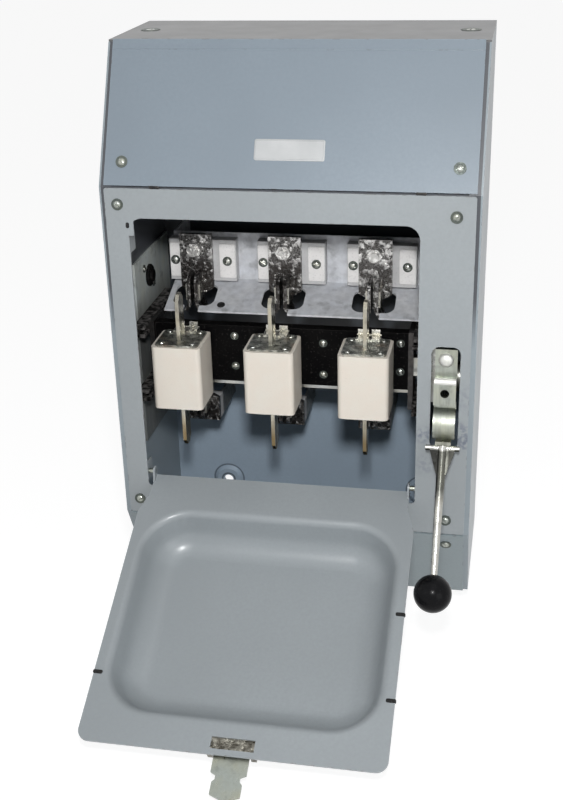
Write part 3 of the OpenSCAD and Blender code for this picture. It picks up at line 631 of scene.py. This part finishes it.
def rounded_outline(w, h, r, steps=6):
    """The corners of a rounded rectangle about its middle, anticlockwise."""
    points = []
    for cx, cy, start in ((1, 1, 0), (-1, 1, 90), (-1, -1, 180), (1, -1, 270)):
        for step in range(steps + 1):
            angle = math.radians(start + 90 * step / steps)
            points.append((cx * (w / 2 - r) + r * math.cos(angle), cy * (h / 2 - r) + r * math.sin(angle)))
    return points


def stacked(layers):
    """Points and faces of a solid built up from outlines of one length, closed at both ends."""
    points = [point for layer in layers for point in layer]
    count = len(layers[0])
    faces = [tuple(range(count))[::-1], tuple(range((len(layers) - 1) * count, len(layers) * count))]
    for level in range(len(layers) - 1):
        for step in range(count):
            nxt = (step + 1) % count
            a, b = level * count, (level + 1) * count
            faces.append((a + step, a + nxt, b + nxt, b + step))
    return points, faces


def upright_layers(outline, x, y, z, steps):
    """An upright outline about a point, repeated at steps: pairs of depth and scale, in millimetres."""
    return [[mm(x + across * scale, y + depth, z + rise * scale) for across, rise in outline]
            for depth, scale in steps]


label_low, label_high, label_left, label_right = 21.0, 37.0, -25.0, 28.0
label_w = label_right - label_left
label_h = label_high - label_low
label_r = 1.6
label_mid_x = (label_left + label_right) / 2
label_mid_up = (label_low + label_high) / 2
label_steps = ((0.0, -0.2), (0.0, 0.45), (0.25, 0.6), (1.0, 0.6), (1.25, 0.35))


def label_layer(inset, proud):
    """One outline of the plate at a height above the hood."""
    outline = rounded_outline(label_w - 2 * inset, label_h - 2 * inset, label_r - min(inset, 1.0))
    return [on_cover(hood_sheet, label_mid_x + x, label_mid_up + y, proud) for x, y in outline]


label_metal, tree, shader = new_material("label_metal")
here = place_of(tree)
smudge = cloud(tree, here, scale=45.0, detail=4.0)
brushed = cloud(tree, place_of(tree, (1, 14, 14)), scale=260.0, detail=3.0)
face = tinted(tree, smudge, (0.44, 0.455, 0.46), (0.54, 0.55, 0.555))
face = tinted(tree, times(tree, brushed, 0.3), face, (0.42, 0.43, 0.44))
face = tinted(tree, times(tree, edges_of(tree, width=0.0005), 0.6), face, (0.25, 0.27, 0.29))
tree.links.new(face, shader.inputs["Base Color"])
shader.inputs["Metallic"].default_value = 0.15
rough_between(tree, shader, brushed, 0.35, 0.55)
dented(tree, shader, brushed, strength=0.08, distance=0.0001)
label_layers = [label_layer(inset, proud) for inset, proud in label_steps]
show(solid_mesh("hood_label", *stacked(label_layers), label_metal), "box")

bead_w, bead_h, bead_up, bead_root = 1.1, 0.35, 104.0, 0.3
bead_half = 139.4
bead_sides = 6
bead_ring = [(bead_w / 2 * math.cos(angle), bead_h * math.sin(angle)) for angle in
             (math.pi * step / bead_sides for step in range(bead_sides + 1))]
bead_ring += [(-bead_w / 2, -bead_root), (bead_w / 2, -bead_root)]
bead_layers = [[on_cover(hood_sheet, x, bead_up + climb, proud) for climb, proud in bead_ring]
               for x in (-bead_half, bead_half)]
show(solid_mesh("hood_fold_bead", *stacked(bead_layers), cover_enamel), "box")

# black for the seam clips, and the same black as painted shade in the lug's hole
black_clip_and_hole_shade, tree, shader = new_material("blackened_steel_and_hole_shade")
patch = cloud(tree, place_of(tree), scale=240.0, detail=4.0)
tree.links.new(tinted(tree, patch, (0.018, 0.018, 0.02), (0.07, 0.065, 0.06)), shader.inputs["Base Color"])
shader.inputs["Metallic"].default_value = 0.7
rough_between(tree, shader, patch, 0.35, 0.6)
dented(tree, shader, patch, strength=0.2, distance=0.0002)
seam_z = halfway(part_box("front_frame")[1].z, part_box("upper_cover")[0].z)
clip_w, clip_h, clip_r = 8.0, 2.2, 1.0
clip_x, clip_up = 100.0, 0.4
clip_in, clip_out, clip_bevel = 1.4, 0.5, 0.3
clip_steps = ((clip_in, 1.0), (clip_bevel - clip_out, 1.0), (-clip_out, 0.8))
clip_outline = rounded_outline(clip_w, clip_h, clip_r)
for clip_name, x in (("seam_clip_left", -clip_x), ("seam_clip_right", clip_x)):
    clip_layers = upright_layers(clip_outline, x, front_y, seam_z + clip_up, clip_steps)
    show(solid_mesh(clip_name, *stacked(clip_layers), black_clip_and_hole_shade), "box")

lug_low, lug_high, lug_left, lug_right = 102.6, 119.6, -124.5, -118.6
lug_cut = 0.6
lug_back, lug_front = 1.5, 0.05
lug_outline = [(lug_left, lug_low), (lug_right - lug_cut, lug_low), (lug_right, lug_low + lug_cut),
               (lug_right, lug_high), (lug_left, lug_high)]
lug_layers = upright_layers(lug_outline, 0.0, front_y, 0.0, ((lug_back, 1.0), (lug_front, 1.0)))
show(solid_mesh("frame_lug", *stacked(lug_layers), frame_enamel), "box")
# painted shade: the lug's hole is a thin black disc, not an open hole
lug_hole_x, lug_hole_z = -123.2, 110.8
lug_hole_w, lug_hole_h, lug_hole_r = 2.8, 4.6, 1.3
lug_hole_steps = ((0.6, 1.0), (-0.12, 1.0))
lug_hole = rounded_outline(lug_hole_w, lug_hole_h, lug_hole_r)
lug_hole_shade_layers = upright_layers(lug_hole, lug_hole_x, front_y, lug_hole_z, lug_hole_steps)
show(solid_mesh("frame_lug_hole_shade", *stacked(lug_hole_shade_layers), black_clip_and_hole_shade), "box")


# ---------------------------------------------------------------------------
# The upper contact shelf: a folded zinc-plated plate bolted to the back wall.
# It carries a grey insulating pad behind each fixed jaw, with two white tabs
# and their screws on each pad, and a black cup sits in its floor as painted
# shade of a hole.
# ---------------------------------------------------------------------------
plate_zinc = zinc("plate_zinc", (0.68, 0.695, 0.735), warm=0.1, rough=0.5, grain=140.0, metal=0.15)
finish_node(plate_zinc, "upper_plate")
bracket_zinc = zinc("bracket_zinc", (0.4, 0.4, 0.39), warm=0.3, rough=0.42)
finish_node(bracket_zinc, "lower_brackets")


def pale_moulding(name, colour):
    """A pale moulded insulator: faint grey clouds, dust in the corners, fine pits."""
    material, tree, shader = new_material(name)
    here = place_of(tree)
    body = tinted(tree, cloud(tree, here, scale=60.0, detail=3.0), shaded(colour, 0.9), colour)
    pit = cloud(tree, here, scale=700.0, detail=2.0, low=0.55, high=0.75)
    body = tinted(tree, times(tree, pit, 0.35), body, shaded(colour, 0.55))
    body = tinted(tree, times(tree, edges_of(tree, width=0.0009), 0.55), body, shaded(colour, 0.62))
    tree.links.new(body, shader.inputs["Base Color"])
    rough_between(tree, shader, cloud(tree, here, scale=120.0, detail=3.0), 0.42, 0.62)
    dented(tree, shader, pit, strength=0.15, distance=-0.0002)
    return material


def turned_layers(centre, axis, profile, sides=28):
    """Rings of a round piece: profile pairs of radius and distance along the axis, in millimetres."""
    axis = Vector(axis).normalized()
    aside = axis.orthogonal().normalized()
    across = axis.cross(aside)
    layers = []
    for radius, reach in profile:
        ring = []
        for step in range(sides):
            angle = 2 * math.pi * step / sides
            way = aside * math.cos(angle) + across * math.sin(angle)
            ring.append(centre + axis * (reach / 1000.0) + way * (radius / 1000.0))
        layers.append(ring)
    return layers


pad_grey = pale_moulding("pad_grey", (0.60, 0.60, 0.605))
tab_white = pale_moulding("tab_white", (0.93, 0.915, 0.905))
finish_node(pad_grey, "upper_insulators", "lower_insulators")

pole_spots = [halfway(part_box(fuse)[0].x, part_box(fuse)[1].x)
              for fuse in ("fuse_body_1", "fuse_body_2", "fuse_body_3")]
pads_low, pads_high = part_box("upper_insulators")
pad_front = pads_low.y * 1000.0
pad_mid_z = halfway(pads_low.z, pads_high.z)
tab_h, tab_r = 30.0, 1.5
tab_rise, tab_sunk = 1.2, 0.4
tab_spans = (("left", -23.6, -14.2), ("right", 19.5, 33.6))
tab_steps = ((tab_sunk, 1.0), (tab_sunk - tab_rise, 1.0), (-tab_rise, 0.97))
for number, pole in enumerate(pole_spots, 1):
    for side, tab_from, tab_to in tab_spans:
        tab_outline = rounded_outline(tab_to - tab_from, tab_h, tab_r)
        tab_mid_x = pole + (tab_from + tab_to) / 2
        tab_layers = upright_layers(tab_outline, tab_mid_x, pad_front, pad_mid_z, tab_steps)
        tab = solid_mesh("pad_tab_%s_%d" % (side, number), *stacked(tab_layers), tab_white)
        show(tab, "box")
tab_screws_at = (-18.9, 26.5)
pad_spots = [mm(pole + aside, pad_front - tab_rise, pad_mid_z)
             for pole in pole_spots for aside in tab_screws_at]
pad_aims = [forward] * len(pad_spots)
fix_on("pad_screws", slotted_screws, pad_spots, pad_aims, "box", "zinc", screw_zinc, seed=11,
       head_radius=0.0029, head_height=0.0018, slot_width=0.0009, slot_depth=0.0012,
       washer_radius=0.0040, washer_height=0.0005)

# painted shade: a black cup stands for the dark hole in the shelf's floor
shelf_hole_shade_place = mm(-72.5, -83.7, 20.8)
shelf_fall, shelf_run = 15.0, 42.0
shelf_up = Vector((0, -shelf_fall, shelf_run)).normalized()
shelf_hole_shade_profile = [(3.4, -1.0), (3.4, 0.5), (2.9, 0.9), (2.1, 0.7), (1.7, 0.1), (0.4, 0.0)]
painted_shade_black, tree, shader = new_material("painted_shade_black")
shade_mottle = cloud(tree, place_of(tree), scale=400.0, detail=3.0)
tree.links.new(tinted(tree, shade_mottle, (0.008, 0.008, 0.008), (0.03, 0.03, 0.03)), shader.inputs["Base Color"])
rough_between(tree, shader, shade_mottle, 0.5, 0.75)
shader.inputs["Specular IOR Level"].default_value = 0.2
shelf_hole_shade_layers = turned_layers(shelf_hole_shade_place, shelf_up, shelf_hole_shade_profile, sides=20)
show(solid_mesh("shelf_hole_shade", *stacked(shelf_hole_shade_layers), painted_shade_black), "box")


# ---------------------------------------------------------------------------
# The fixed contacts: pairs of spring leaves of tinned copper on a base with a
# washer, nut and stud for the cable, held on the pads.
# ---------------------------------------------------------------------------
def tinned(name, bright, dark, scale=150.0, low=0.42, high=0.56):
    """Tinned copper that has been handled and greased: bright and dark patches over a lumpy skin."""
    material, tree, shader = new_material(name)
    here = place_of(tree)
    patch = cloud(tree, here, scale=scale, detail=5.0, low=low, high=high)
    fine = cloud(tree, here, scale=scale * 4, detail=3.0)
    skin = tinted(tree, patch, dark, bright)
    skin = tinted(tree, times(tree, fine, 0.5), skin, shaded(bright, 0.5))
    skin = tinted(tree, times(tree, edges_of(tree, width=0.0005), 0.6), skin, (0.7, 0.69, 0.66))
    tree.links.new(skin, shader.inputs["Base Color"])
    shader.inputs["Metallic"].default_value = 0.95
    rough_between(tree, shader, fine, 0.22, 0.5)
    lumps = dented(tree, shader, patch, strength=0.5, distance=0.0006)
    dented(tree, shader, fine, strength=0.3, distance=0.0003, under=lumps)
    return material


# painted shade: the jaws are darkened in patches below their nuts, less to the right, and the nuts' fronts
# carry a painted highlight
jaw_tin = tinned("jaw_tin", (0.74, 0.73, 0.72), (0.035, 0.032, 0.03), scale=230.0, low=0.48, high=0.6)
jaw_shade_top, jaw_shade_low = 0.062, 0.050
jaw_shade_right, jaw_shade_left = 0.150, -0.020
nut_back, nut_face = -0.0655, -0.0665
nut_foot, nut_low = 0.058, 0.060
tree = jaw_tin.node_tree
jaw_shade = cloud(tree, place_of(tree), scale=330.0, detail=4.0, low=0.66, high=0.5)
jaw_shade = times(tree, jaw_shade, along(tree, "Z", jaw_shade_top, jaw_shade_low))
jaw_shade = times(tree, jaw_shade, along(tree, "X", jaw_shade_right, jaw_shade_left))
overlaid(jaw_tin, jaw_shade, 0.93, (0.045, 0.04, 0.038))
nut_highlight = times(tree, along(tree, "Y", nut_back, nut_face), along(tree, "Z", nut_foot, nut_low))
overlaid(jaw_tin, nut_highlight, 0.55, (0.78, 0.77, 0.75))
spring_steel = zinc("spring_steel", (0.5, 0.49, 0.46), rough=0.26)
finish_node(jaw_tin, "upper_jaws", "lower_jaws")
finish_node(spring_steel, "upper_springs", "lower_springs")


# ---------------------------------------------------------------------------
# The side cheeks and rails: zinc-plated side plates and black moulded guide
# bars between which the carriage slides, with the lever's shaft on the right
# and a black bush on the left, two screws beside it.
# ---------------------------------------------------------------------------
def black_moulding(name, rough):
    """Pressed black insulating plastic: faint flow marks, scuffs and dust."""
    material, tree, shader = new_material(name)
    here = place_of(tree)
    flow = cloud(tree, here, scale=40.0, detail=4.0)
    dust = cloud(tree, here, scale=520.0, detail=2.0, low=0.6, high=0.8)
    body = tinted(tree, flow, (0.002, 0.002, 0.0024), (0.006, 0.0057, 0.0057))
    body = tinted(tree, times(tree, dust, 0.4), body, (0.11, 0.1, 0.095))
    body = tinted(tree, times(tree, edges_of(tree, width=0.0007), 0.4), body, (0.06, 0.058, 0.055))
    tree.links.new(body, shader.inputs["Base Color"])
    rough_between(tree, shader, flow, rough - 0.06, rough + 0.12)
    dented(tree, shader, cloud(tree, here, scale=300.0, detail=3.0), strength=0.15, distance=0.0002)
    shader.inputs["Specular IOR Level"].default_value = 0.03
    return material


rail_dusty = black_moulding("rail_dusty", rough=0.5)
tree = rail_dusty.node_tree
dust = cloud(tree, place_of(tree), scale=240.0, detail=5.0, low=0.42, high=0.66)
overlaid(rail_dusty, dust, 0.7, (0.19, 0.18, 0.175))
cheek_zinc = zinc("cheek_zinc", (0.60, 0.64, 0.63), warm=0.3, rough=0.5, stretch=(1, 1, 0.2), grain=80.0,
                  metal=0.2)
# painted shadow: the cheeks are darkened over their lower part
cheek_shade_from, cheek_shade_full = 0.030, 0.004
overlaid(cheek_zinc, along(cheek_zinc.node_tree, "Z", cheek_shade_from, cheek_shade_full), 0.8, (0.10, 0.10, 0.10))
shaft_steel = zinc("shaft_steel", (0.5, 0.5, 0.48), rough=0.3)
finish_node(rail_dusty, "left_rails", "right_rails")
finish_node(cheek_zinc, "left_cheek", "right_cheek")
finish_node(shaft_steel, "lever_shaft")

rail_black = black_moulding("rail_black", rough=0.4)
rightward = Vector((1, 0, 0))
bush_place = mm(-140.5, -63.0, 38.0)
bush_profile = [(9.5, -0.5), (9.5, 1.8), (8.6, 2.6), (6.0, 2.6), (5.2, 4.4), (3.6, 4.8), (0.8, 4.9)]
bush_layers = turned_layers(bush_place, rightward, bush_profile)
show(solid_mesh("cheek_bush", *stacked(bush_layers), rail_black), "box")
bush_screws_at = ((-12.5, 9.5), (11.5, -10.5))
bush_screw_spots = [bush_place + mm(0, back, up) for back, up in bush_screws_at]
fix_on("bush_screws", slotted_screws, bush_screw_spots, [rightward] * 2, "box", "zinc", screw_zinc, seed=2,
       head_radius=0.0024, head_height=0.0018, slot_width=0.0008, slot_depth=0.001,
       washer_radius=0.0033, washer_height=0.0005)


# ---------------------------------------------------------------------------
# The carriage: a black moulded cross bar on two sliders, stiffened by a zinc
# strip, with clip screws on its face. The lever's yoke hangs at its right end.
# ---------------------------------------------------------------------------
strip_zinc = zinc("strip_zinc", (0.5, 0.5, 0.48), rough=0.3, stretch=(0.2, 1, 1))
slider_zinc = zinc("slider_zinc", (0.09, 0.085, 0.085), rough=0.4)
finish_node(rail_black, "traverse")
finish_node(strip_zinc, "traverse_strip", "yoke")
finish_node(slider_zinc, "left_slider", "right_slider")
bar_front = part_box("traverse")[0].y * 1000.0
bar_screws_at = ((-58, 0), (-58, -27), (17, -3), (17, -31), (81, 0), (81, -25))
bar_spots = [mm(x, bar_front, z) for x, z in bar_screws_at]
bar_aims = [forward] * len(bar_spots)
fix_on("bar_screws", slotted_screws, bar_spots, bar_aims, "carriage", "zinc", screw_zinc, seed=5,
       head_radius=0.0027, head_height=0.0017, slot_width=0.0009, slot_depth=0.0011,
       washer_radius=0.0034, washer_height=0.0004)


# ---------------------------------------------------------------------------
# The fuses: square ivory porcelain bodies with metal end plates riveted at the
# four corners, and knife blades that enter the fixed jaws. Bright clips with
# two spring tongues hold each on the carriage's bar.
# ---------------------------------------------------------------------------
def porcelain(name, colour):
    """Unglazed ivory porcelain with a faint blush and fine specks."""
    material, tree, shader = new_material(name)
    here = place_of(tree)
    blush = (colour[0], colour[1] * 0.965, colour[2] * 0.95)
    body = tinted(tree, cloud(tree, here, scale=55.0, detail=3.0), colour, blush)
    speck = cloud(tree, here, scale=800.0, detail=2.0, low=0.6, high=0.8)
    body = tinted(tree, times(tree, speck, 0.25), body, shaded(colour, 0.7))
    body = tinted(tree, times(tree, edges_of(tree, width=0.0016), 0.35), body, shaded(colour, 1.1))
    tree.links.new(body, shader.inputs["Base Color"])
    rough_between(tree, shader, cloud(tree, here, scale=90.0, detail=3.0), 0.38, 0.55)
    dented(tree, shader, cloud(tree, here, scale=330.0, detail=3.0), strength=0.10, distance=0.0003)
    return material


fuse_ivory = porcelain("fuse_ivory", (0.80, 0.755, 0.675))
finish_node(fuse_ivory, "fuse_body_1", "fuse_body_2", "fuse_body_3")
end_tin = tinned("end_tin", (0.55, 0.56, 0.51), (0.09, 0.095, 0.085), scale=170.0, low=0.42, high=0.62)
tree = end_tin.node_tree
burnt = cloud(tree, place_of(tree), scale=85.0, detail=3.0, low=0.52, high=0.66)
overlaid(end_tin, burnt, 0.45, (0.24, 0.13, 0.06))
finish_node(end_tin, "fuse_ends")
blade_tin = zinc("blade_tin", (0.5, 0.47, 0.40), warm=0.5, rough=0.26, stretch=(1, 1, 0.2), grain=260.0)
tip_from, tip_full = -0.060, -0.078
overlaid(blade_tin, along(blade_tin.node_tree, "Z", tip_from, tip_full), 0.85, (0.22, 0.15, 0.06))
finish_node(blade_tin, "fuse_blades")
clip_tin = zinc("clip_tin", (0.62, 0.61, 0.58), rough=0.24)
finish_node(clip_tin, "fuse_clips")

tongue_h, tongue_sunk = 7.5, 3.0
tongue_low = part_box("fuse_clips")[1].z * 1000.0 - tongue_sunk
tongue_aside = 5.6
tongue_half_w, tongue_half_t = 3.4, 0.5
tongue_curve = ((-1.6, 0.0), (-2.6, 0.35), (-3.0, 0.7), (-2.2, 1.0))
tongue_corners = ((-1, -1), (1, -1), (1, 1), (-1, 1))
for number, pole in enumerate(pole_spots, 1):
    for side, tongue_x in (("left", pole - tongue_aside), ("right", pole + tongue_aside)):
        tongue_layers = []
        for depth, climb in tongue_curve:
            tongue_y, tongue_z = bar_front + depth, tongue_low + tongue_h * climb
            tongue_layers.append([mm(tongue_x + x * tongue_half_w, tongue_y + y * tongue_half_t, tongue_z)
                                  for x, y in tongue_corners])
        tongue = solid_mesh("clip_tongue_%s_%d" % (side, number), *stacked(tongue_layers), clip_tin)
        show(tongue, "carriage")


def rivet_tree():
    """A low round rivet head."""
    sizes = ("Head Radius", "Head Height")
    tree, given, leaving = fixing_tree("round_rivet", sizes)
    head_r, head_h = (given.outputs[label] for label in sizes)
    rivets = set_on_points(tree, given, round_head(tree, head_r, head_h, segments=20), 0.0)
    tree.links.new(dressed_in(tree, rivets, given.outputs["Finish"]), leaving.inputs["Pieces"])
    return tree


round_rivets = rivet_tree()
end_low, end_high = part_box("fuse_ends")
fuse_mid_y = halfway(end_low.y, end_high.y)
rivet_in = 13.0
rivet_spots = []
rivet_aims = []
for pole in pole_spots:
    for across, back in ((-1, -1), (-1, 1), (1, -1), (1, 1)):
        for end_z, aim in ((end_high.z, upward), (end_low.z, -upward)):
            rivet_spots.append(mm(pole + across * rivet_in, fuse_mid_y + back * rivet_in, end_z * 1000))
            rivet_aims.append(aim)
fix_on("fuse_rivets", round_rivets, rivet_spots, rivet_aims, "carriage", "contact_metal", screw_zinc,
       head_radius=0.0026, head_height=0.0015)


# ---------------------------------------------------------------------------
# The lever: a bright zinc-plated hub and a shield with a rolled bend and a
# rivet, in the slot of the frame, and a tapered rod pinned in its fork with a
# polished black ball at its end.
# ---------------------------------------------------------------------------
lever_zinc = zinc("lever_zinc", (0.36, 0.36, 0.32), warm=0.45, rough=0.28, stretch=(1, 0.25, 0.25),
                  grain=420.0)
shield_zinc = zinc("shield_zinc", (0.43, 0.45, 0.40), warm=0.3, rough=0.4, stretch=(1, 0.12, 0.12),
                   grain=380.0, bump=0.04)
finish_node(lever_zinc, "lever_hub", "lever_strap")
finish_node(shield_zinc, "lever_shield")

# painted shade: the rod's fork is darkened, and the sides of its two wings are nearly black, the left one
# most
rod_zinc = zinc("rod_zinc", (0.50, 0.495, 0.47), warm=0.3, rough=0.27, stretch=(1, 1, 0.2), grain=300.0)
fork_foot, fork_low, fork_high, fork_top = -0.093, -0.082, -0.0585, -0.0570
tree = rod_zinc.node_tree
fork_shade = times(tree, along(tree, "Z", fork_foot, fork_low), along(tree, "Z", fork_top, fork_high))
left_wing_in, left_wing_out = 0.1205, 0.1185
right_wing_in, right_wing_out = 0.1255, 0.1270
left_wing_shade = times(tree, fork_shade, along(tree, "X", left_wing_in, left_wing_out))
right_wing_shade = times(tree, fork_shade, along(tree, "X", right_wing_in, right_wing_out))
overlaid(rod_zinc, fork_shade, 0.85, (0.06, 0.062, 0.05))
overlaid(rod_zinc, left_wing_shade, 0.92, (0.008, 0.008, 0.008))
overlaid(rod_zinc, right_wing_shade, 0.88, (0.022, 0.022, 0.02))
finish_node(rod_zinc, "lever_rod")

ball_black, tree, shader = new_material("ball_black")
here = place_of(tree)
mark = times(tree, cloud(tree, here, scale=500.0, detail=2.0, low=0.62, high=0.8), 0.3)
tree.links.new(tinted(tree, mark, (0.006, 0.006, 0.007), (0.05, 0.05, 0.05)), shader.inputs["Base Color"])
rough_between(tree, shader, cloud(tree, here, scale=60.0, detail=4.0), 0.16, 0.32)
dented(tree, shader, cloud(tree, here, scale=180.0, detail=2.0), strength=0.03, distance=0.0003)
shader.inputs["Specular IOR Level"].default_value = 0.07
shader.inputs["Coat Weight"].default_value = 0.03
shader.inputs["Coat Roughness"].default_value = 0.12
finish_node(ball_black, "lever_knob")

# painted highlight: a paler zinc than the shield's, for the rolled bend and the rivet
roll_highlight, tree, shader = new_material("roll_highlight")
highlight_streaks = cloud(tree, place_of(tree, (0.3, 1, 1)), scale=420.0, detail=3.0)
tree.links.new(tinted(tree, highlight_streaks, (0.80, 0.80, 0.77), (0.66, 0.66, 0.62)), shader.inputs["Base Color"])
shader.inputs["Metallic"].default_value = 0.6
rough_between(tree, shader, highlight_streaks, 0.36, 0.5)
dented(tree, shader, highlight_streaks, strength=0.05, distance=0.0001)
shield_low, shield_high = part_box("lever_shield")
shield_mid_x = halfway(shield_low.x, shield_high.x)
tab_rivet_in, tab_rivet_up = 5.2, 10.5
tab_rivet_spots = [mm(shield_mid_x, front_y + tab_rivet_in, tab_rivet_up)]
fix_on("tab_rivet", round_rivets, tab_rivet_spots, [forward], "lever", "zinc", roll_highlight,
       head_radius=0.0060, head_height=0.0044)

roll_r, roll_out, roll_z = 3.0, 1.3, -5.2
roll_edge, roll_pinch, roll_sides = 0.4, 0.9, 24
roll_left, roll_right = shield_low.x * 1000, shield_high.x * 1000
roll_steps = ((roll_left, roll_pinch), (roll_left + roll_edge, 1.0), (roll_right - roll_edge, 1.0),
              (roll_right, roll_pinch))
roll_layers = []
for x, shrink in roll_steps:
    angles = [2 * math.pi * step / roll_sides for step in range(roll_sides)]
    roll_layers.append([mm(x, front_y - roll_out + roll_r * shrink * math.cos(angle),
                           roll_z + roll_r * shrink * math.sin(angle)) for angle in angles])
show(solid_mesh("shield_roll", *stacked(roll_layers), roll_highlight), "lever")


# ---------------------------------------------------------------------------
# The door: one sheet with a dish pressed in it, hung on two pins at its foot
# and enamelled like the frame, with a zinc-plated hasp at its free end and
# three black pieces in slits at its sides, painted shade where the slits read dark.
# ---------------------------------------------------------------------------
door_enamel = enamel("door_enamel", (0.32, 0.352, 0.372), rough=0.34)
finish_node(door_enamel, "door_panel", "door_ears")
hasp_zinc = zinc("hasp_zinc", (0.33, 0.345, 0.31), warm=0.6, rough=0.32)
finish_node(hasp_zinc, "latch_hasp", "door_pins")
plate_dark = tinned("plate_dark", (0.30, 0.29, 0.25), (0.05, 0.045, 0.035), scale=200.0, low=0.42, high=0.66)
finish_node(plate_dark, "latch_plate")

door_joint = [joint for joint in frame["joints"] if joint["name"] == "door_hinge"][0]
hinge = Vector(door_joint["pos_m"])
swing = Matrix.Rotation(math.radians(-door_joint["range_deg"][0]), 3, "X")


def on_door(x, y, up):
    """A point on the shut door, in millimetres and up from the hinge, turned to the open door."""
    shut = mm(x, y, up) + Vector((0, 0, hinge.z))
    return hinge + swing @ (shut - hinge)


door_gap = 1.0
door_back = front_y - door_gap
# painted shade: thin black pieces sit in three slits of the door, where the slits read dark
slit_shade_w, slit_shade_h, slit_shade_r, slit_shade_rise = 7.4, 3.0, 1.2, 0.75
slit_shade_steps = ((-1.9, 0.8), (-1.5, 1.0), (slit_shade_rise - 0.3, 1.0), (slit_shade_rise, 0.85))
slit_shade_outline = rounded_outline(slit_shade_w, slit_shade_h, slit_shade_r)
slit_shades = (("slit_shade_right_low", 99.0, 112.0), ("slit_shade_right_high", 99.0, 182.0),
           ("slit_shade_left_high", -121.4, 182.0))
for slit_shade_name, slit_shade_x, slit_shade_up in slit_shades:
    slit_shade_layers = [[on_door(slit_shade_x + x * shrink, door_back + rise, slit_shade_up + z * shrink)
                      for x, z in slit_shade_outline] for rise, shrink in slit_shade_steps]
    show(solid_mesh(slit_shade_name, *stacked(slit_shade_layers), painted_shade_black), "door")
